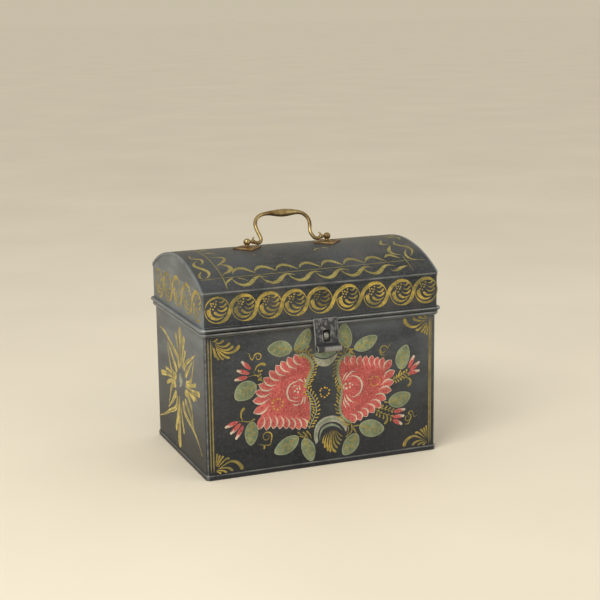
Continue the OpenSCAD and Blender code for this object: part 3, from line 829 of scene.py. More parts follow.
def petals(sheets, spots, half, crescent):
    """Petals from (root, tip), each with a cream edge drawn in from its tip along one side."""
    for k, (root, tip) in enumerate(spots):
        a, b, run, side = axis(root, tip)
        sheets["rose"].stroke([a, (a + b) / 2 - side * 0.4, b], half, petal_width, 1 + 0.12 * (k % 2), 20)
        sheets["red"].stroke([a.lerp(b, 0.15) - side * 0.4, a.lerp(b, 0.82) - side * 0.9], half * 0.34,
                             swell_width, 1.8, 12)
        sheets["cream"].stroke([b + run * 0.03 - side * half * 0.06, b.lerp(a, 0.10) + side * half * 0.46,
                                b.lerp(a, 0.36) + side * half * 0.90, b.lerp(a, 0.66) + side * half * 0.66,
                                b.lerp(a, 0.90) - side * half * 0.1], crescent, swell_width, 2, 20)
        sheets["cream"].stroke([b + run * 0.03, b.lerp(a, 0.10) - side * half * 0.46,
                                b.lerp(a, 0.28) - side * half * 0.86], crescent * 0.5, comma_width, 2, 12)


def buds(sheets, spots):
    """Red buds with cream tips, from (foot, tip)."""
    for foot, tip in spots:
        a, b, _, side = axis(foot, tip)
        sheets["red"].stroke([a, (a + b) / 2, b], 2.25, leaf_width, 0, 16)
        sheets["cream"].stroke([b, a.lerp(b, 0.62)], 1.35, comma_width, 1, 12)
        sheets["cream"].stroke([a.lerp(b, 0.8) + side * 1.3, a.lerp(b, 0.4) + side * 1.6], 0.4, comma_width,
                               1.5, 10)


def fringe(sheets, edge, outward, lean, reach, inner, band, gap):
    """A sage band along the inner edge of a flower, blotched and crossed by slanting ochre strokes.

    The lean is how far a stroke's outer end is carried back along the edge."""
    line, total = smooth_line(edge, 120)
    sheets["sage"].stroke(edge, band, line_width, 1.2, 50)
    count = int(total / gap)
    for i in range(count + 1):
        k = min(118, max(1, int(119 * i / count)))
        run, left = heading(line, k)
        across = left * -outward
        far = reach * (0.92 + 0.18 * math.sin(i * 2.3))
        sheets["ochre"].stroke([line[k] + across * far - run * lean,
                                line[k] + across * far * 0.5 - run * lean * 0.3,
                                line[k] - across * 0.3 + run * lean * 0.25], 0.78, comma_width, 2.0, 12)
        mid = line[min(k + 2, 118)]
        sheets["ochre"].stroke([mid - across * inner - run * lean * 0.3, mid + across * 0.6 + run * 0.4],
                               0.78, swell_width, 2.2, 8)
        sheets["leaf_edge"].dot(*(line[k] - across * 0.5), 0.75, 2.4)


def fern(sheets, path, count, reach=5.0, lean=3.2):
    """A fine pale stem with a stroke on each side of it at every step, leaning back from its tip."""
    sheets["stone"].stroke(path, 0.42, line_width, 1.6, 40)
    line, _ = smooth_line(path, 80)
    for i in range(count):
        k = int(4 + 72 * i / (count - 1))
        run, left = heading(line, k)
        for side in (-1, 1):
            across = left * side
            sheets["ochre"].stroke([line[k] + across * reach - run * lean,
                                    line[k] + across * reach * 0.45 - run * 0.9, line[k] + across * 0.3],
                                   0.86, comma_width, 1.9, 12)


def ring_of_dots(sheet, u, v, radius, count, half, layer):
    """A ring of dabs, set out unevenly by hand."""
    for i in range(count):
        a = 2 * math.pi * i / count + 0.3 + 0.09 * math.sin(i * 2.7)
        r = radius * (1 + 0.07 * math.cos(i * 1.9))
        sheet.dot(u + r * math.cos(a), v + r * math.sin(a), half * (1 + 0.15 * math.sin(i * 3.7)), layer)


def arc(u, v, radius, start, end, count):
    """Points on a circle, from angle to angle in degrees."""
    turns = [math.radians(start + (end - start) * i / (count - 1)) for i in range(count)]
    return [(u + radius * math.cos(a), v + radius * math.sin(a)) for a in turns]


def curl(sheet, u, v, radius, turn, flip, tail, half=0.65, layer=0):
    """A tendril: one and a half turns of a spiral that runs out into a tail."""
    points = []
    for i in range(13):
        a = turn + flip * 2 * math.pi * 1.3 * (1 - i / 12)
        r = radius * (0.25 + 0.75 * i / 12)
        points.append((u + r * math.cos(a), v + r * math.sin(a)))
    sheet.stroke(points + list(tail), half, swell_width, layer, 40)


def stem(sheets, path, dashes, half=0.6, reach=(3.2, 5.4)):
    """A fine stem, with pairs of curved dashes that lean towards its tip."""
    sheets["ochre"].stroke(path, half, comma_width, 0.5, 16)
    line, _ = smooth_line(path, 40)
    for i in range(dashes):
        k = int(3 + 31 * i / max(dashes - 1, 1))
        run, left = heading(line, k)
        for side, far in ((1, reach[0]), (-1, reach[1])):
            across = left * side
            sheets["ochre"].stroke([line[k] + across * far + run * 2.4,
                                    line[k] + across * far * 0.5 + run * 1.7, line[k] + across * 0.3], 0.95,
                                   comma_width, 0.8, 12)


# Middle height of the front
MID_V = 75.5
# Leaves: (base, tip, half width, bend)
LEAVES = [
    ((-34.0, 124.0), (-60.0, 127.5), 8.2, -0.6), ((-31.0, 122.5), (-15.6, 144.0), 7.0, -2.0),
    ((-72.0, 92.0), (-94.5, 80.0), 9.6, -1.6), ((-77.5, 55.5), (-79.3, 30.6), 7.0, 0.0),
    ((-28.5, 33.5), (-54.5, 19.5), 8.2, 1.0), ((-22.8, 30.8), (-14.2, 5.6), 7.0, 0.9),
    ((26.6, 119.5), (21.6, 145.5), 7.4, 1.0), ((33.0, 118.0), (58.5, 128.5), 7.2, -1.2),
    ((85.5, 90.5), (91.8, 116.2), 7.8, 1.4), ((71.0, 57.5), (96.3, 63.2), 8.2, -1.6),
    ((38.3, 36.5), (66.5, 29.2), 9.2, -1.0), ((35.8, 28.5), (20.2, 7.6), 8.2, 0.9),
]
# Petals of the two flowers: (root, tip)
LEFT_PETALS = [
    ((-24, 106), (-31.5, 118.5)), ((-30, 103), (-39, 116.5)), ((-36, 100), (-46, 113)),
    ((-41, 97), (-51.5, 109.5)), ((-46, 93), (-58.5, 104.5)), ((-50, 89), (-64.5, 98)),
    ((-54, 85.5), (-69.5, 92)), ((-56, 81.5), (-73.5, 85)), ((-58, 76.5), (-76, 76)),
    ((-58, 70), (-75.5, 64)), ((-64.5, 61), (-70.5, 46.5)), ((-59.5, 61), (-62.5, 44.8)),
    ((-53.5, 60), (-55, 45.3)), ((-47.5, 59), (-48, 44.4)), ((-42, 57), (-41.2, 43.4)),
    ((-36.5, 56), (-34.2, 42)), ((-31, 55), (-27.2, 40.8)), ((-25.5, 54), (-20.5, 41.2)),
]
RIGHT_PETALS = [
    ((24, 101), (25.5, 112)), ((30.5, 101), (32.8, 111)), ((37.2, 99), (39.8, 109.9)),
    ((44.5, 98), (46.3, 109.2)), ((51.2, 97), (52.6, 108.8)), ((57, 95), (58.8, 106.6)),
    ((61.8, 93), (65, 105.6)), ((65, 91.5), (74.2, 101.8)), ((64.5, 83.2), (77.8, 90.2)),
    ((62, 77.2), (77, 78.6)), ((59, 72.4), (74.2, 69.8)), ((54.5, 67.6), (68.2, 61.2)),
    ((50.5, 63), (62.8, 53.4)), ((46, 59.6), (55.2, 48.8)), ((40.5, 56), (47, 45.4)),
    ((34.8, 53), (40.4, 42.4)), ((28.5, 51), (33.6, 40.4)),
]
# Outlines of the red hearts of the flowers
LEFT_HEART = [(-20, 117), (-28, 112), (-37, 107), (-44, 103), (-50, 98), (-55, 93), (-60, 88), (-63, 82),
              (-65, 75), (-67, 67), (-68, 60), (-65, 54), (-56, 52), (-46, 51), (-38, 50), (-30, 48),
              (-22, 46), (-16.5, 48), (-15, 57), (-16, 66), (-18, 73), (-19.5, 80), (-17.5, 87), (-15, 95),
              (-14.5, 104), (-16, 113)]
RIGHT_HEART = [(16.5, 109), (23, 106), (33, 104), (43, 102), (53, 101), (60, 99), (66, 95), (69, 88),
               (69, 80), (67, 73), (62, 67), (57, 62), (51, 57), (44, 53), (37, 49), (30, 45), (23, 46),
               (19.4, 54), (18, 62), (18, 70), (17.5, 80), (15.5, 88), (14.5, 97), (15, 104)]
# Buds: (foot, tip)
BUDS = [
    ((-77.5, 108.5), (-87.5, 117.8)), ((-79, 104.5), (-92.5, 109.0)), ((-81, 101.2), (-95, 99.5)),
    ((-92, 57.0), (-106, 52.5)), ((-89, 55.0), (-100.5, 45.2)), ((-86.5, 52.5), (-95, 39.0)),
    ((94, 91.0), (100.3, 104.0)), ((95.5, 88), (106.5, 96.8)), ((93, 85), (106.8, 87.5)),
    ((77, 46.3), (90.5, 47.8)), ((75.5, 41.2), (89.5, 40.8)), ((76, 38), (87, 31.8)),
]
# Scrolls of the left and the right end of the dome's border: (points, half width)
LEFT_SCROLLS = [
    ([(-115.1, 12.8), (-117.0, 21.6), (-113.0, 25.6), (-108.4, 28.2), (-108.0, 34.0), (-110.7, 39.9),
      (-114.0, 41.3)], 1.6),
    ([(-112.5, 31.8), (-117.0, 35.4), (-119.2, 42.2), (-116.6, 47.5), (-112.8, 51.8), (-110.0, 56.5),
      (-109.8, 61.4), (-113.2, 66.9), (-116.3, 68.6)], 2.1),
    ([(-115.5, 55.5), (-119.6, 61.0), (-120.7, 66.5), (-118.3, 70.0)], 1.3),
    ([(-97.6, 24.1), (-90.5, 25.8), (-85.0, 28.0), (-85.6, 34.8), (-91.4, 41.7), (-95.5, 45.0),
      (-96.9, 49.2)], 1.7),
    ([(-95.1, 44.9), (-90.2, 45.8), (-86.1, 49.4), (-85.3, 54.8), (-89.2, 60.0), (-94.9, 63.2),
      (-97.2, 66.4)], 2.2), ([(-98.5, 7.2), (-93.7, 9.4), (-87.7, 12.2)], 1.4),
]
RIGHT_SCROLLS = [
    ([(97.0, 11.7), (92.3, 20.9), (90.5, 26.5), (94.0, 28.6), (99.0, 29.4)], 1.7),
    ([(98.0, 32.8), (93.0, 40.5), (90.8, 46.0), (91.4, 50.6), (94.4, 53.9), (99.4, 55.6)], 2.0),
    ([(109.2, 18.2), (104.6, 28.4), (108.2, 34.9), (113.0, 38.6), (115.9, 43.4), (115.5, 49.5), (111.8, 55.8),
      (108.8, 59.9)], 1.7),
    ([(110.5, 45.4), (106.0, 52.0), (104.4, 58.6), (105.4, 63.0), (108.6, 66.2), (114.0, 67.0)], 1.4),
    ([(103.0, 7.4), (112.2, 3.4), (118.4, 4.6), (118.8, 11.3), (115.6, 18.7)], 1.3),
]
# Fine lines of one side of the dome's border, along it and across its right end: (points, half width, width,
# count)
BORDER_LINES = [
    ([(-122, 71.2), (-100, 70.2), (0, 69), (70, 67.8), (100, 67.2), (122, 68.7)], 0.42, line_width, 60),
    ([(100, 60), (100.4, 74), (100.6, 87)], 0.7, comma_width, 30),
]
# Strokes of one side of it: (points, half width, width, layer, count, places along the border). Those with
# many places are the commas inside the fine line and the waves outside it.
BORDER = [
    ([(0, 64.4), (3.6, 59), (9.0, 55.6), (14.4, 57), (19.6, 62), (23.4, 66)], 2.3, swell_width, 0.3, 24,
     (-87.0, -64.2, -41.4, -16.6, 7.4, 31.6, 55.4)),
    ([(79.3, 59.4), (83.2, 55.4), (87.7, 54.5), (90.6, 57.2), (95.6, 62.4)], 2.1, swell_width, 0.3, 20, (0,)),
    ([(0, 73), (2.5, 79.4), (9.0, 84), (16, 82), (22, 76), (28, 72.4), (36, 74.6)], 2.25, swell_width, 0.3,
     30, (-90, -60.5, -31.5, -2.5, 24.5, 48.5)),
    ([(77, 80.6), (80, 82.4), (84.6, 81.8), (90, 78.4), (98.7, 76)], 1.9, swell_width, 0.3, 20, (0,)),
    ([(-98.7, 80.6), (-94.6, 75.3), (-88.2, 71)], 1.3, swell_width, 0.4, 14, (0,)),
    ([(-84, 72), (-79, 74.5), (-74.6, 79)], 0.8, comma_width, 0.4, 12, (0,)),
]
# Sprays of the lower and the upper corners of the front: (points, half width)
LOW_SPRAY = [
    ([(-88.8, 7), (-90.5, 12), (-95.5, 16.2), (-102, 17), (-112, 12)], 2.0),
    ([(-98.4, 7.2), (-102.5, 10.4), (-108, 11.6), (-115, 11)], 1.35),
    ([(-104.8, 6.4), (-108.5, 8.6), (-115.5, 9.8)], 1.15), ([(-111, 6.0), (-113, 7.6), (-116, 8.8)], 1.0),
    ([(-101.6, 20.6), (-106, 20), (-114, 13)], 1.25), ([(-107.8, 23.8), (-110.5, 21), (-115, 13.5)], 1.2),
    ([(-111.6, 25.4), (-113, 21.5), (-115.6, 14)], 1.1), ([(-114.4, 27.2), (-115.2, 22), (-116.2, 15)], 1.0),
]
HIGH_SPRAY = [
    ([(-88.8, 134.5), (-92, 130.2), (-98, 127.6), (-105, 129), (-113, 134)], 1.7),
    ([(-95.2, 134.2), (-100, 131), (-106, 131.5), (-113.5, 136)], 1.3),
    ([(-98.4, 137.4), (-103.5, 134.5), (-108.5, 135), (-114, 138)], 1.25),
    ([(-104.8, 141), (-109, 138.2), (-114.5, 139.5)], 1.2),
    ([(-111, 142.8), (-114, 140.8), (-117, 141)], 1.0),
    ([(-99, 122.6), (-104, 124.4), (-110.5, 131), (-113.5, 137)], 1.25),
    ([(-105.2, 121.4), (-109, 125), (-113.2, 134)], 1.15),
    ([(-110.2, 121.2), (-112.8, 126), (-115.2, 135)], 1.05),
    ([(-113.6, 124.2), (-115, 129), (-116.6, 137)], 0.9),
]


def corner_spray(sheet, spray, flip_u, flip_v):
    """Commas that fan out of a corner of the front. The flips move them to another corner."""
    for points, half in spray:
        sheet.stroke([(u * flip_u, MID_V + (v - MID_V) * flip_v) for u, v in points], half, comma_width, 0,
                     20)


def paint_front():
    """Everything that is painted on the front of the case, by colour."""
    names = ("ochre", "umber", "red", "rose", "cream", "gold", "leaf", "leaf_edge", "leaf_vein", "leaf_blue",
             "sage", "stone")
    sheets = {name: Strokes() for name in names}
    leaves(sheets, LEAVES)
    sheets["red"].fill(LEFT_HEART, 0)
    sheets["red"].fill(RIGHT_HEART, 0)
    for spots, half, crescent in ((LEFT_PETALS[:10], 4.3, 0.86), (LEFT_PETALS[10:], 3.9, 0.80),
                                  (RIGHT_PETALS[:7], 3.3, 0.58), (RIGHT_PETALS[7:11], 4.1, 0.80),
                                  (RIGHT_PETALS[11:], 4.2, 0.80)):
        petals(sheets, spots, half, crescent)
    buds(sheets, BUDS)
    cream = sheets["cream"]
    for points, half in [
        ([(-24, 91.5), (-30, 91), (-37, 88), (-40, 81), (-37.5, 73), (-31, 70.5), (-27, 70.5)], 0.85),
        ([(-28.5, 93.5), (-25, 92), (-22.5, 89)], 0.7), ([(-21.5, 94), (-20.5, 91), (-20, 88)], 0.62),
        ([(-34, 67.5), (-30, 66.5), (-27, 68)], 0.8), ([(-27, 66), (-24, 69.5), (-22.5, 75)], 0.72),
        ([(-22, 66), (-21, 71), (-21.5, 76)], 0.62), ([(-35.5, 84.5), (-32, 86.6), (-28, 86)], 0.4),
        ([(-35, 76), (-31, 74), (-27.5, 75)], 0.4),
        ([(25.5, 89), (31, 90), (38, 87), (41.5, 80), (39.5, 72), (33, 68), (28, 68.6)], 0.95),
        ([(31, 93), (26.5, 91.5), (21.5, 85)], 0.7), ([(26, 95), (22.4, 91.5), (19.9, 85.5)], 0.6),
        ([(34.5, 94), (30.5, 94.5), (26.5, 92.6)], 0.55),
        ([(23.5, 72), (26.5, 66), (32.5, 61.5)], 0.85), ([(21.5, 70.5), (23.5, 64), (28.5, 57.5)], 0.75),
        ([(20.5, 67), (21.6, 61.5), (24.5, 55.5)], 0.6), ([(21.8, 76), (21.3, 79.5), (22.2, 83)], 0.6),
    ]:
        cream.stroke(points, half, swell_width, 2, 18)
    for u, v, half in [(-31.8, 81.2, 1.1), (-28.4, 79.9, 1.15), (-29.3, 83.4, 1.05), (-26.4, 83.2, 1.15),
                       (-26.9, 85.6, 0.7), (23.6, 82.3, 1.2), (28, 82.4, 1.15), (24.2, 77.6, 1.35),
                       (28.2, 78.5, 1.15), (31, 80.4, 0.7)]:
        cream.dot(u, v, half, 2)
    for ring in ((-50.5, 70.0, 5.5, 10, 0.95, 2), (56.0, 81.5, 5.0, 11, 0.75, 2),
                 (0.3, 76.4, 5.0, 10, 0.85, 0)):
        ring_of_dots(sheets["gold"], *ring)
    fringe(sheets,
           [(-27.8, 117.4), (-21.5, 117.8), (-16.1, 113.6), (-12.6, 108.0), (-12.5, 101.9), (-15.2, 96.0),
            (-18.0, 90.1), (-20.0, 83.6)], -1, 2.4, 5.6, 3.6, 1.5, 2.6)
    fern(sheets, [(-19.7, 81.5), (-15.5, 76.8), (-11.8, 71.2), (-9.4, 64.1), (-8.9, 57.8), (-11.2, 51.8),
                  (-14.8, 46.0), (-17.0, 40.0)], 13, 4.4, 2.6)
    sheets["sage"].stroke([(-18.7, 79.8), (-16.1, 73.3), (-15.1, 64.8), (-15.2, 56.5), (-16.9, 48.3)], 0.9,
                          swell_width, 1.2, 26)
    fringe(sheets,
           [(31, 111.0), (26, 112.6), (20.5, 110.6), (16.6, 106.2), (15.0, 99.5), (15.4, 92.5), (17.3, 85.4),
            (19.1, 79.9)], 1, -3.4, 5.9, 2.2, 1.7, 3.0)
    fringe(sheets, [(19.2, 78.6), (18.6, 71.2), (17.4, 64.4), (16.9, 57.4), (18.9, 50.2), (23.8, 44.3),
                    (29.9, 40.6)], 1, 3.6, 5.6, 1.6, 1.4, 3.3)
    paint_stems(sheets)
    paint_centre(sheets)
    return sheets


def paint_stems(sheets):
    """Stems, tendrils and the loose commas beside the flowers."""
    ochre = sheets["ochre"]
    stem(sheets, [(-64, 93.5), (-69.5, 99.5), (-77, 106.5)], 0)
    stem(sheets, [(-72, 102), (-76, 102.2), (-81, 101.2)], 0, 0.5)
    stem(sheets, [(-67.5, 95.5), (-69.8, 100), (-69, 106)], 3, 0.4, (1.8, 3.4))
    ochre.stroke([(-62, 111.4), (-66, 113), (-71, 111.2), (-74, 106)], 1.5, comma_width, 0.5, 18)
    stem(sheets, [(-74, 57.8), (-81, 55.6), (-87, 56.8), (-93, 57.2)], 0, 0.6)
    ochre.stroke([(-84.8, 70.5), (-88, 67), (-89, 62), (-87.2, 57)], 1.5, comma_width, 0.5, 18)
    stem(sheets, [(74.8, 80.6), (82.4, 83.2), (93.1, 87.9)], 6, 0.5, (2.6, 5.4))
    ochre.stroke([(92.5, 71.8), (96, 74.5), (95.6, 79), (91, 81.5), (84, 82.5)], 1.35, comma_width, 0.6, 18)
    stem(sheets, [(57.5, 53), (66, 51.4), (76.5, 46.8)], 5, 0.5, (3.6, 1.4))
    stem(sheets, [(57, 51), (64, 46.5), (70, 44), (76, 41.5)], 5, 0.5, (1.4, 5.4))
    ochre.stroke([(66.3, 34.5), (69, 37), (70, 41), (67.5, 46)], 1.35, comma_width, 0.6, 18)
    for points in [[(-33.5, 124), (-27, 121.8), (-19, 121)], [(-30.5, 123), (-24, 121)],
                   [(-28.5, 34), (-22, 32)], [(-71.8, 92.5), (-66, 92)], [(-77.5, 55.5), (-76, 58)],
                   [(38.5, 37), (31, 36.6)], [(33, 117.5), (27, 118)], [(71, 57), (66, 58.5)],
                   [(27, 119.5), (23, 116)], [(85.5, 90.5), (82, 84.5)], [(35.5, 28.5), (31, 36)],
                   [(-22.5, 30.5), (-19, 36)]]:
        ochre.stroke(points, 0.65, line_width, 0.4, 10)
    for points in [[(-15.6, 126.5), (-18.2, 124), (-20.6, 121)], [(-12.6, 122), (-16, 120.4), (-19, 117.4)],
                   [(-11, 117), (-14.4, 115.4), (-17.4, 112.6)], [(15.7, 126.5), (16.6, 120), (14.4, 113.4)],
                   [(19, 125), (22.2, 120.6), (21.4, 116)], [(26, 114.8), (31.5, 114.4), (34.8, 110.3)],
                   [(18.8, 44.3), (25.0, 38.8), (26.2, 33.4), (24.3, 28.3)],
                   [(29.6, 39.4), (30.2, 33.5), (28.6, 27.7)], [(-29.5, 38.5), (-26, 35.5), (-22.5, 33.2)],
                   [(-24, 38), (-19.5, 33), (-17.6, 29)], [(-20, 38.5), (-16, 34), (-14.4, 29)],
                   [(22.8, 26), (27, 29), (30.2, 33), (29.6, 37.5)]]:
        ochre.stroke(points, 0.9, comma_width, 0.6, 12)
    curl(ochre, -62.2, 37.6, 5.4, 0.3, 1, [(-57.6, 33.0), (-59.5, 28.9), (-66, 29.6), (-72, 31.2)])
    ochre.stroke([(-65.5, 25.2), (-65, 28.2), (-68, 30)], 0.95, comma_width, 0.4, 12)
    curl(ochre, -70, 120.3, 4.2, 2.6, -1, [(-76, 118), (-78.6, 121.5), (-79, 124.5), (-84.5, 126.4)])
    curl(ochre, 65.5, 113.5, 4.8, 0.2, 1, [(71.5, 116.5), (73.5, 119.5), (76, 120.2)])
    ochre.stroke([(58.8, 114), (61.5, 112.5), (63, 109), (68, 107.2)], 0.6, swell_width, 0.4, 16)
    curl(ochre, 93, 38.2, 4.6, 1.4, -1, [(96.5, 45), (99, 43.5), (100.2, 38.5), (104.6, 40)])
    ochre.stroke([(89.5, 31.8), (93.5, 31.6), (96.5, 35)], 0.6, swell_width, 0.4, 14)


def paint_centre(sheets):
    """Crescent under the hasp, arch below with its fan, corner sprays and stripes."""
    ochre, stone, sage = sheets["ochre"], sheets["stone"], sheets["sage"]
    stone.fill([(-13, 116), (-9.5, 108.5), (-4.5, 104.3), (1, 103), (6.5, 104.2), (11.5, 108.5), (15, 115.5),
                (9.5, 112.3), (1, 110.3), (-7.5, 112.6)], 0)
    sage.fill([(-11.5, 117.3), (-6, 118.6), (1, 119), (8, 118.6), (13.5, 117), (9.2, 113.7), (1, 111.7),
               (-7.3, 113.9)], 0.4)
    stone.fill([(-10.0, 23.4), (-11.5, 29.8), (-11.4, 36.1), (-9.1, 43.2), (-3.8, 48.2), (2.7, 50.5),
                (9.3, 50.8), (15.9, 48.6), (21.4, 44.2), (24.3, 37.9), (23.6, 31.8), (21.0, 36.6),
                (17.0, 40.8), (11.5, 43.9), (4.9, 44.3), (-1.3, 42.4), (-5.7, 37.9), (-7.5, 31.4),
                (-7.3, 25.4)], 0)
    sage.stroke([(-5.3, 26.4), (-5.0, 32.6), (-2.2, 38.2), (3.7, 41.0), (9.4, 41.0), (15.0, 38.4),
                 (19.3, 33.6)], 1.45, swell_width, 0.5, 30)
    sage.stroke([(-9.6, 26.0), (-9.6, 35.4), (-5.6, 43.6), (2.6, 47.4), (10.6, 47.2), (18.4, 43.0),
                 (22.4, 36.0)], 0.75, swell_width, 1.6, 30)
    for points, half in [
        ([(-1.9, 22.6), (-1.6, 27.6), (1.2, 32.6)], 0.9), ([(0.2, 17.6), (0.4, 25.0), (3.4, 33.8)], 1.1),
        ([(3.5, 13.8), (2.8, 23.0), (5.4, 34.6)], 1.2), ([(6.4, 12.2), (5.2, 21.0), (7.0, 35.2)], 1.1),
        ([(12.6, 11.5), (8.2, 16.4), (7.2, 24.6), (8.6, 35.6)], 1.45),
        ([(14.4, 15.6), (10.8, 20.0), (9.4, 27.4), (10.0, 35.4)], 1.2),
        ([(16.8, 19.4), (13.2, 23.2), (11.4, 29.6), (11.2, 35.2)], 1.1),
        ([(18.6, 23.2), (15.4, 26.2), (13.0, 31.0), (12.4, 34.8)], 0.95),
        ([(19.7, 27.4), (17.0, 29.4), (14.6, 32.2), (13.4, 34.0)], 0.8),
    ]:
        ochre.stroke(points, half, comma_width, 0.5, 16)
    for spray, flip_u, flip_v in ((LOW_SPRAY, 1, 1), (LOW_SPRAY, -1, 1), (HIGH_SPRAY, 1, 1),
                                  (LOW_SPRAY, -1, -1)):
        corner_spray(ochre, spray, flip_u, flip_v)
    for u, half in ((-121.0, 0.55), (-118.2, 0.70), (117.6, 0.85), (119.4, 0.55)):
        sheets["umber"].stroke([(u, 7.5), (u, 75), (u, 143.5)], half, line_width, 0, 20)


def roundels(sheet, centres, radius, worn=None):
    """Roundels of commas and dots, linked by a ribbon that is full where it passes from one to the next.

    A sheet of worn paint is given with the number of the roundel that it takes."""
    count = len(centres)
    size = radius / 12.5
    worn_sheet, worn_index = worn or (None, -1)

    def spots(i, pairs):
        u, v = centres[i]
        return [(u + du * size, v + dv * size) for du, dv in pairs]

    for i in range(count):
        target = worn_sheet if i == worn_index else sheet
        sheet.stroke(arc(*centres[i], 8.7 * size, 168, 318, 10), 2.1 * size, comma_width, 0.4, 22)
        for pairs, half in [
            ([(-3.4, -1.2), (0.6, -4.6), (5.6, -4.8), (9.4, -2.6)], 1.35),
            ([(9.9, 2.2), (6.4, -0.8), (2.4, -0.6), (0, 1.6)], 1.2),
            ([(9.6, 6.2), (6.6, 3.4), (3.4, 3.2), (1.6, 4.8)], 1.1),
            ([(7.2, 9.6), (5, 7.6), (2.8, 7.6), (1.6, 8.4)], 0.95),
        ]:
            target.stroke(spots(i, pairs), half * size, comma_width, 0.4, 14)
        for u, v in spots(i,
                          [(-5.6, 4.6), (-2.5, 3.8), (-4.2, 1.2), (-6.9, 2.0), (-3.9, 6.8), (-0.9, 8.8),
                           (-1.4, 6.0), (-6.3, 6.9)]):
            target.dot(u, v, 0.9 * size, 0.4)
    for i in range(count - 1):
        low = arc(*centres[i], radius, 176, 300, 9)
        high = arc(*centres[i + 1], radius, 128, -6, 10)
        a, b = Vector(low[-1]), Vector(high[0])
        rise = [a.lerp(b, t) + Vector((0.5, -0.32)) * radius * t * (1 - t) * (1 - 2 * t) * 1.9
                for t in (0.17, 0.34, 0.5, 0.66, 0.83)]
        sheet.stroke(low + rise + high, 1.95 * size, link_width, 0, 64)
    sheet.stroke(arc(*centres[0], radius, 0, 178, 12), 1.0 * size, swell_width, 0, 36)
    sheet.stroke(arc(*centres[-1], radius, 176, 366, 12), 1.1 * size, swell_width, 0, 36)


def paint_star(sheet, heart, ribs):
    """Starburst of the case's ends: leaf sprays on the diagonals, palmettes between them and a pale heart.

    Wide strokes are parted by dark ribs."""
    strokes = [
        ([(-1.5, 93), (-5, 104), (-18, 110.4), (-36, 116.6), (-52, 122.4), (-70, 124)], 3.2),
        ([(-9, 88.5), (-20, 97), (-31, 106), (-42, 114)], 3.3),
        ([(-11, 83), (-25, 83.4), (-34, 90), (-39, 102), (-43, 114)], 3.2),
        ([(15, 95), (19, 101.6), (30, 108.6), (40, 113), (56, 121.4)], 2.9),
        ([(19, 90), (28, 98), (37, 105.6), (47, 113)], 2.8),
        ([(21, 83.6), (33, 86), (40, 93), (45, 103), (50, 115)], 3.2),
        ([(-14, 72.6), (-25, 71.6), (-33, 64.6), (-38, 55), (-44, 45)], 3.1),
        ([(-13, 66), (-22, 58.6), (-32, 50), (-47, 40.4)], 3.0),
        ([(-10, 62.6), (-14, 51), (-24, 44.4), (-40, 38.6), (-58, 30.4), (-84, 21)], 2.9),
        ([(16, 73), (27, 71.6), (35.4, 65), (39.4, 57), (42, 46)], 3.2),
        ([(16, 66), (24, 59.4), (34, 52), (44, 42)], 3.0),
        ([(8.4, 62), (13, 52), (25, 46), (40, 41), (54, 34), (70, 21)], 3.2),
        ([(4.6, 139), (5.2, 122), (3, 96)], 4.4), ([(18.6, 132), (13, 114), (6, 98)], 3.0),
        ([(22, 118), (16, 107), (9, 96)], 2.2), ([(-11, 130), (-4, 115), (0, 98)], 2.6),
        ([(-7.6, 7), (-6, 36), (-3, 64)], 5.0), ([(-19, 22.5), (-14, 38), (-7, 56)], 2.8),
        ([(10, 26.5), (5, 38), (0, 56)], 2.4), ([(-12.4, 32), (-9, 44), (-4, 58)], 2.0),
        ([(67.5, 83.4), (45, 80.8), (18, 80)], 2.9), ([(55.5, 90.4), (40, 86), (20, 82.5)], 2.1),
        ([(56.5, 75.5), (38, 76), (20, 77.5)], 1.9), ([(49, 88.6), (36, 84), (22, 81.6)], 1.6),
        ([(49, 72.2), (36, 74.4), (20, 76.6)], 1.5), ([(-70, 73.4), (-42, 77.6), (-12, 79)], 2.8),
        ([(-52, 82.6), (-35, 82.8), (-15, 80.6)], 1.7), ([(-49.5, 66.8), (-32, 73), (-14, 76.5)], 2.0),
        ([(-43, 70.6), (-28, 75.4), (-14, 78)], 1.5),
    ]
    for points, half in strokes:
        sheet.stroke(points, half * 1.12, comma_width, 0.4, 26)
        if half > 2.5:
            line, _ = smooth_line(points, 30)
            rib = [line[k] + heading(line, k)[1] * half * 0.22 for k in (2, 6, 10, 14, 18, 22)]
            ribs.stroke(rib, 0.42, swell_width, 1.5, 24)
    heart.stroke([(3, 90), (1.6, 84), (2.4, 76)], 4.2, leaf_width, 0.2, 20)
    heart.stroke([(9, 86), (5, 79), (-3, 74)], 1.6, leaf_width, 0.3, 14)


def paint_dome(lines, scrolls):
    """Border of the domed top: fine lines, commas inside them, waves outside and scrolls at both ends."""
    for side in (-1, 1):
        for points, half, width, count in BORDER_LINES:
            lines.stroke([(u, side * v) for u, v in points], half, width, 0, count)
        for points, half, width, layer, count, places in BORDER:
            for place in places:
                scrolls.stroke([(place + u, side * v) for u, v in points], half, width, layer, count)
        for points, half in LEFT_SCROLLS + RIGHT_SCROLLS:
            scrolls.stroke([(u, side * v) for u, v in points], half, swell_width, 0.3, 30)
    for points, half in [([(12.8, -28.9), (17.0, -24.6), (22.6, -22.6)], 0.9),
                         ([(24.0, -22.4), (27.6, -21.9), (30.8, -26.4)], 0.8),
                         ([(-50.7, -24.4), (-51.3, -28.8)], 0.6)]:
        scrolls.stroke(points, half, swell_width, 0.3, 12)
    lines.stroke([(-99.2, -88.6), (-98.6, -66), (-100, -33), (-101, 0), (-100, 33), (-98.6, 66),
                  (-99.2, 88.6)], 0.6, line_width, 0, 60)


# Pieces

def dress(material, *nodes):
    """Gives CAD nodes a material, in every slot that they have."""
    for name in nodes:
        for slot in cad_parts[name].material_slots:
            slot.material = material


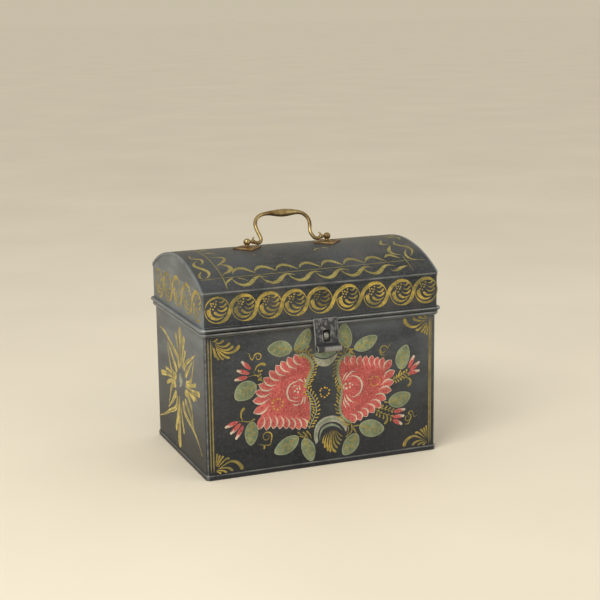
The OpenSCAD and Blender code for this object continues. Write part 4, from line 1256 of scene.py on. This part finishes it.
def paints():
    """Tone of each paint, then what make_paint takes after it: spread, share worn off, shade and flecks."""
    paint = bpy.context.scene.box_paint
    reds = ((0.27, 0.028, 0.045), (0.62, 0.235, 0.185))
    greens = ((0.30, 0.26, 0.07), (0.10, 0.19, 0.12))
    return {
        "ochre": (paint.ochre, 0.28, 0.35, toned(paint.ochre, 0.38, 0.46, 0.8)),
        "umber": (paint.umber, 0.3, 0.4),
        "red": (paint.red, 0.26, 0.16, None, reds),
        "rose": (paint.rose, 0.24, 0.16, None, reds),
        "gold": (paint.gold, 0.2, 0.1),
        "cream": (paint.cream, 0.2, 0.3),
        "leaf": (paint.leaf, 0.34, 0.25, None, greens),
        "leaf_edge": (paint.leaf_edge, 0.18, 0.2),
        "leaf_vein": (paint.leaf_vein, 0.2, 0.2),
        "leaf_blue": (paint.leaf_blue, 0.2, 0.2),
        "sage": (paint.sage, 0.3, 0.3),
        "stone": (paint.stone, 0.3, 0.35),
    }


def paint_material(name):
    tone, *rest = paints()[name]
    return finish(f"{name.capitalize()} paint", make_paint, tuple(tone), *rest)


def lay_front(names):
    """Lays the named paints of the front, one piece for each colour."""
    drawn = paint_front()
    for name in names:
        lay_paint(f"front_{name}", drawn[name], paint_material(name), "case",
                  face_place("front", CASE_Y))


class BOX_OT_sheets(bpy.types.Operator):
    """Finish the japanned sheets of the case and lid, and the unpainted tin"""

    bl_idname = "deed_box.sheets"
    bl_label = "Japanned Sheets"

    def execute(self, context):
        sheet = context.scene.box_sheet
        # Light lines and corners of rubbed tin on the case, which also stand as painted highlights
        marks = [(height_mark(low, high), amount) for low, high, amount in CASE_LINES]
        marks.append((corner_mark(CASE_X, CASE_Y, CASE_CORNER), 0.5))
        case = finish("Japanned case", make_japan, tuple(sheet.japan), sheet, marks, CASE_HEART)
        # The lid's light lines, arches and corners: rubbed tin that also stands as painted highlights
        marks = [(height_mark(low, high), amount) for low, high, amount in LID_LINES]
        marks += [(arch_mark(low, high, BAND_X), amount) for low, high, amount in ARCH_LINES]
        marks.append((corner_mark(BAND_X + TIN, BAND_Y + TIN, LID_CORNER), 0.28))
        lid = finish("Lid japan", make_japan, tuple(sheet.japan_lid), sheet, marks, LID_HEART)
        dress(case, "case_wrap", "case_back", "case_bottom")
        dress(lid, "lid_band", "lid_top")
        tin = finish("Bare tin", make_tin, tuple(sheet.tin))
        dress(tin, "lid_wire", "hinge_strap_left", "hinge_strap_right", "hinge_rivets", "staple",
              "staple_plate", "washer_left", "washer_right")
        dress(finish("Hasp tin", make_hasp, sheet), "hasp")
        dress(finish("Iron nut", make_tin, toned(sheet.tin, 0.6)), "nut_left", "nut_right")
        return {"FINISHED"}


class BOX_OT_flowers(bpy.types.Operator):
    """Paint the two red flowers, their fringes, leaves and buds on the front"""

    bl_idname = "deed_box.flowers"
    bl_label = "Flowers"

    def execute(self, context):
        lay_front(("red", "rose", "cream", "gold", "leaf", "leaf_edge", "leaf_vein", "leaf_blue"))
        return {"FINISHED"}


class BOX_OT_scrolls(bpy.types.Operator):
    """Paint the ochre sprays, stems and stripes, and the arch and crescent, on the front"""

    bl_idname = "deed_box.scrolls"
    bl_label = "Scrolls And Arch"

    def execute(self, context):
        lay_front(("ochre", "umber", "sage", "stone"))
        return {"FINISHED"}


class BOX_OT_stars(bpy.types.Operator):
    """Paint the starburst on each end of the case"""

    bl_idname = "deed_box.stars"
    bl_label = "End Stars"

    def execute(self, context):
        paint = context.scene.box_paint
        tone = toned(paint.ochre, 1.45, 1.62, 2.5)
        material = finish("Pale ochre paint", make_paint, tone, 0.22, 0.32, toned(tone, 0.45))
        dark = finish("Dark rib paint", make_paint, toned(context.scene.box_sheet.japan, 2.4), 0.4, 0.3)
        drawn, heart, ribs = Strokes(), Strokes(), Strokes()
        paint_star(drawn, heart, ribs)
        stone = paint_material("stone")
        for side in ("left", "right"):
            for label, strokes, laid in (("ribs_", ribs, dark), ("", drawn, material),
                                         ("heart_", heart, stone)):
                if side == "right":
                    strokes = strokes.mirrored()
                name = f"star_{label}{side}"
                lay_paint(name, strokes, laid, "case", face_place(side, CASE_X))
        return {"FINISHED"}


class BOX_OT_bands(bpy.types.Operator):
    """Paint the linked roundels round the lid's wall"""

    bl_idname = "deed_box.bands"
    bl_label = "Roundel Bands"

    def execute(self, context):
        bright = paint_material("ochre")
        faded = finish("Faded ochre paint", make_paint, toned(context.scene.box_paint.ochre, 0.38), 0.3, 0.6)
        front, old = Strokes(), Strokes()
        roundels(front, [(u, 171.2) for u in (-111, -83.3, -57, -30.5, -3.5, 26.5, 56, 85.5, 113)], 12.6,
                 (old, 4))
        lay_paint("band_front", front, bright, "lid", face_place("front", BAND_Y))
        lay_paint("band_front_worn", old, faded, "lid", face_place("front", BAND_Y))
        for side in ("left", "right"):
            drawn = Strokes()
            roundels(drawn, [(-62, 172.5), (-30, 174), (3, 175.5), (37.5, 174.5), (70, 172.8)], 14.4)
            if side == "right":
                drawn = drawn.mirrored()
            lay_paint(f"band_{side}", drawn, bright, "lid", face_place(side, BAND_X))
        return {"FINISHED"}


class BOX_OT_border(bpy.types.Operator):
    """Paint the border of commas and waves on the domed top"""

    bl_idname = "deed_box.border"
    bl_label = "Dome Border"

    def execute(self, context):
        tone = toned(context.scene.box_paint.ochre, 0.62, 0.72, 1.10)
        lines, scrolls = Strokes(), Strokes()
        paint_dome(lines, scrolls)
        thin = finish("Thin ochre paint", make_paint, toned(tone, 0.8), 0.3, 0.5)
        full = finish("Dome ochre paint", make_paint, tone, 0.32, 0.45)
        lay_paint("dome_lines", lines, thin, "lid", DOME_PLACE, DOME_RADIUS)
        lay_paint("dome_border", scrolls, full, "lid", DOME_PLACE, DOME_RADIUS)
        return {"FINISHED"}


class BOX_OT_staple(bpy.types.Operator):
    """Sheathe the staple's nose in a flattened loop, which fills the hasp's slot"""

    bl_idname = "deed_box.staple"
    bl_label = "Staple"

    def execute(self, context):
        sheet = context.scene.box_sheet
        low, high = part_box("staple")
        middle, root = (high.z + low.z) / 2, -CASE_Y + 0.0002
        nose = low.y + STAPLE_WIRE + sheet.bend
        turns = [math.pi * k / 16 for k in range(17)]
        path = [(0, nose - sheet.bend * math.sin(a), middle + sheet.bend * math.cos(a)) for a in turns]
        path = [(0, root, middle + sheet.bend), *path, (0, root, middle - sheet.bend)]
        mesh = points_mesh("bars", path, [(k, k + 1) for k in range(len(path) - 1)],
                           [sheet.staple] * len(path), [0.0] * len(path))
        tin = finish("Staple tin", make_tin, toned(sheet.tin, 1.15))
        made = run_tree("staple", mesh, "Round bars", {"Sides": 24, "Metal": tin})
        made.transform(Matrix.Diagonal((sheet.flat, 1, 1, 1)))
        put("staple_flat", made, tin, "case")
        return {"FINISHED"}


class BOX_OT_handle(bpy.types.Operator):
    """Sweep the swan-neck bail, bead the rims of the lozenges and finish the brass"""

    bl_idname = "deed_box.handle"
    bl_label = "Brass Handle"

    def execute(self, context):
        sheet, sizes = context.scene.box_sheet, context.scene.box_handle
        brass = finish("Old brass", make_brass, tuple(sheet.brass), sheet)
        bronze = finish("Ruddy bronze", make_brass, tuple(sheet.copper), sheet)
        dress(brass, "handle_post_left", "handle_post_right")
        dress(bronze, "escutcheon_left", "escutcheon_right")
        boxes = [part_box(f"handle_post_{side}") for side in ("left", "right")]
        posts = [(low.x + high.x) / 2 for low, high in boxes]
        pin = boxes[0][1].z - sizes.ball
        self.bail(brass, sizes, (posts[0] + posts[1]) / 2, (posts[1] - posts[0]) / 2, pin)
        for side, middle in zip(("left", "right"), posts):
            self.rim(f"plate_rim_{side}", brass, sizes, middle)
        return {"FINISHED"}

    def bail(self, brass, sizes, middle, reach, pin):
        """Replaces the plain bail with one whose grip swells below a flat arch."""
        wire, grip, crown = sizes.wire / MM, sizes.grip / MM, sizes.grip_top / MM
        span = reach / MM
        foot = [(span - 6.4, 0.2), (span - 9.0, -1.3), (span - 11.8, -1.9), (span - 14.4, -0.6),
                (span - 15.9, 2.4), (span - 16.2, 6.2), (span - 15.4, 10.6), (span - 14.5, 15.2),
                (span - 14.6, 19.6), (span - 16.2, 23.8), (span - 19.4, 27.2)]
        arch = [(u, crown - 0.0062 * u * u - self.swell(u, wire, grip))
                for u in (21, 17, 13, 9, 5, 1, -3, -7, -11, -15, -18, -21)]
        path = [(u - self.shift(h, sizes.skew / MM), h)
                for u, h in foot + arch + [(-u, h) for u, h in reversed(foot)]]
        line, _ = smooth_line(path, 170)
        bars = [(line, [self.swell(p.x, wire, grip) if p.y > 24 else wire for p in line])]
        for side in (-1, 1):
            neck, _ = smooth_line([(side * (span - 8.2), 0), (side * (span + 2.0), 0)], 34)
            bars.append((neck, [self.collar(abs(p.x) - span + 6.6) for p in neck]))
            thorn, _ = smooth_line([(side * (span - 6.8), 1.2), (side * (span - 6.9), 2.9),
                                    (side * (span - 7.6), 4.2), (side * (span - 8.7), 4.9)], 14)
            bars.append((thorn, [1.35 * (1 - 0.68 * i / 13) for i in range(14)]))
        verts, edges, halves = [], [], []
        rise = Vector((0, math.sin(sizes.lean), math.cos(sizes.lean)))
        for points, widths in bars:
            start = len(verts)
            verts += [Vector((middle + p.x * MM, 0, pin)) + rise * p.y * MM for p in points]
            edges += [(start + i, start + i + 1) for i in range(len(points) - 1)]
            halves += [w * MM for w in widths]
        mesh = points_mesh("bars", verts, edges, halves, [0.0] * len(verts))
        made = run_tree("bail", mesh, "Round bars", {"Sides": 24, "Metal": brass})
        piece = put("bail_swept", made, brass, "bail")
        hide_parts("handle_bail")

    def shift(self, height, skew):
        """Shift of the bail to the left at a height over the pins, in millimetres."""
        t = min(1.0, max(0.0, height / 9))
        return skew * t * t * (3 - 2 * t)

    def swell(self, u, wire, grip):
        """Radius of the grip at a distance from the middle, in millimetres."""
        off = min(1.0, abs(u - 1.5) / 23)
        return wire + (grip - wire) * math.cos(0.5 * math.pi * off) ** 2.2

    def collar(self, off, pin=1.4, ball=2.5):
        """Radius of the bail's end: a round collar, then the pin, in millimetres."""
        return max(pin, math.sqrt(max(0.0, ball ** 2 - off ** 2)))

    def rim(self, name, brass, sizes, middle):
        """A moulded bead along the edge of a lozenge, and a finer one round its boss."""
        half_u, half_v, bead = sizes.plate_width / 2 / MM, sizes.plate_depth / 2 / MM, sizes.rim / MM
        far = bead * 1.25
        corners = [(half_u - 1.4 * far, 0), (0, half_v - 1.4 * far), (-half_u + 1.4 * far, 0),
                   (0, -half_v + 1.4 * far)]
        outline = []
        for a, b in zip(corners, corners[1:] + corners[:1]):
            outline += [Vector(a).lerp(Vector(b), t / 10) for t in range(10)]
        closed = [Vector((p.x + middle / MM, p.y)) for p in outline + outline[:2]]
        ring = [Vector(p) for p in arc(middle / MM, 0, 8.6, 0, 372, 48)]
        lines = [(closed, [bead] * len(closed), 0), (ring, [bead * 0.6] * len(ring), 0)]
        mesh = run_tree(name, line_mesh(lines), "Brush strokes", {
            "Sides": 10, "Film": 0.55 * MM, "Bend radius": DOME_RADIUS + sizes.plate_top, "Paint": brass})
        mesh.transform(DOME_PLACE)
        put(name, mesh, brass, "lid")


class BOX_OT_stage(bpy.types.Operator):
    """Set out the pale floor, the soft lights and the camera"""

    bl_idname = "deed_box.stage"
    bl_label = "Stage"

    def execute(self, context):
        settings = context.scene.box_stage
        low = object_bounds()[0]
        made, tree, shader, place = start_material("Paper floor")
        grain = ramp(tree, noise(tree, place, 3.0, 5), 0.3, 0.7, 0.96, 1.03)
        tone = add(tree, "ShaderNodeVectorMath", {0: tuple(settings.paper), "Scale": grain},
                   operation="SCALE")
        set_inputs(tree, shader, {"Base Color": tone.outputs[0], "Roughness": 0.9})
        sheet = bmesh.new()
        bmesh.ops.create_grid(sheet, x_segments=1, y_segments=1, size=30,
                              matrix=Matrix.Translation((0, 0, low[2] - 0.0002)))
        mesh = bpy.data.meshes.new("floor")
        sheet.to_mesh(mesh)
        sheet.free()
        mesh.materials.append(made)
        floor = bpy.data.objects.new("floor", mesh)
        context.scene.collection.objects.link(floor)
        floor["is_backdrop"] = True
        self.light(context, settings)
        self.camera(context)
        return {"FINISHED"}

    def light(self, context, settings):
        world = bpy.data.worlds.new("Soft room")
        world.use_nodes = True
        tree = world.node_tree
        tree.nodes.clear()
        path = add(tree, "ShaderNodeLightPath").outputs
        seen = most(tree, most(tree, path["Is Camera Ray"], path["Is Glossy Ray"]),
                    path["Is Transmission Ray"])
        even = add(tree, "ShaderNodeBackground", {"Color": (1, 0.99, 0.975, 1), "Strength": settings.sky})
        shown = add(tree, "ShaderNodeBackground", {"Color": (*settings.paper, 1), "Strength": settings.sky})
        mix = add(tree, "ShaderNodeMixShader", {0: seen, 1: even.outputs[0], 2: shown.outputs[0]})
        add(tree, "ShaderNodeOutputWorld", {"Surface": mix.outputs[0]})
        context.scene.world = world
        for name, place, power, size in (("key", (-0.95, -0.75, 1.35), settings.key, 0.9),
                                         ("fill", (1.3, -1.1, 0.8), settings.fill, 1.2)):
            lamp = bpy.data.lights.new(name, "AREA")
            lamp.energy, lamp.size = power, size
            holder = bpy.data.objects.new(name, lamp)
            holder.location = place
            aim = LAMP_TARGET - Vector(place)
            holder.rotation_euler = aim.to_track_quat("-Z", "Y").to_euler()
            context.scene.collection.objects.link(holder)
        context.scene.view_settings.view_transform = "Standard"

    def camera(self, context):
        yaw, pitch, roll = (math.radians(a) for a in (CAMERA_YAW, CAMERA_PITCH, CAMERA_ROLL))
        turn = (Matrix.Rotation(roll, 3, "Z") @ Matrix.Rotation(pitch, 3, "X")
                @ Matrix(((1, 0, 0), (0, 0, -1), (0, 1, 0))) @ Matrix.Rotation(yaw, 3, "Z"))
        right, down, ahead = (Vector(row) for row in turn)
        lens = bpy.data.cameras.new("view")
        lens.lens, lens.sensor_width = CAMERA_LENS, 36
        lens.clip_start = 0.01
        holder = bpy.data.objects.new("view", lens)
        axes = Matrix((right, -down, -ahead)).transposed().to_4x4()
        holder.matrix_world = Matrix.Translation(CAMERA_PLACE) @ axes
        context.scene.collection.objects.link(holder)
        context.scene.camera = holder


SETTINGS = {"box_paint": PaintSettings, "box_sheet": SheetSettings, "box_handle": HandleSettings,
            "box_stage": StageSettings}
STEPS = (BOX_OT_sheets, BOX_OT_flowers, BOX_OT_scrolls, BOX_OT_stars, BOX_OT_bands, BOX_OT_border,
         BOX_OT_staple, BOX_OT_handle, BOX_OT_stage)


class BOX_PT_panel(bpy.types.Panel):
    """Settings and steps of the deed box"""

    bl_idname = "BOX_PT_panel"
    bl_label = "Deed Box"
    bl_space_type = "VIEW_3D"
    bl_region_type = "UI"
    bl_category = "Deed Box"

    def draw(self, context):
        for group in SETTINGS:
            held = getattr(context.scene, group)
            column = self.layout.column(heading=held.bl_rna.name)
            for name in held.__annotations__:
                column.prop(held, name)
        for step in STEPS:
            self.layout.operator(step.bl_idname)


def register():
    for name, group in SETTINGS.items():
        bpy.utils.register_class(group)
        setattr(bpy.types.Scene, name, PointerProperty(type=group))
    for step in STEPS:
        bpy.utils.register_class(step)
    bpy.utils.register_class(BOX_PT_panel)


def unregister():
    bpy.utils.unregister_class(BOX_PT_panel)
    for step in reversed(STEPS):
        bpy.utils.unregister_class(step)
    for name, group in reversed(SETTINGS.items()):
        delattr(bpy.types.Scene, name)
        bpy.utils.unregister_class(group)


def main():
    register()
    for step in STEPS:
        group, name = step.bl_idname.split(".")
        getattr(getattr(bpy.ops, group), name)()


if __name__ == "__main__":
    main()
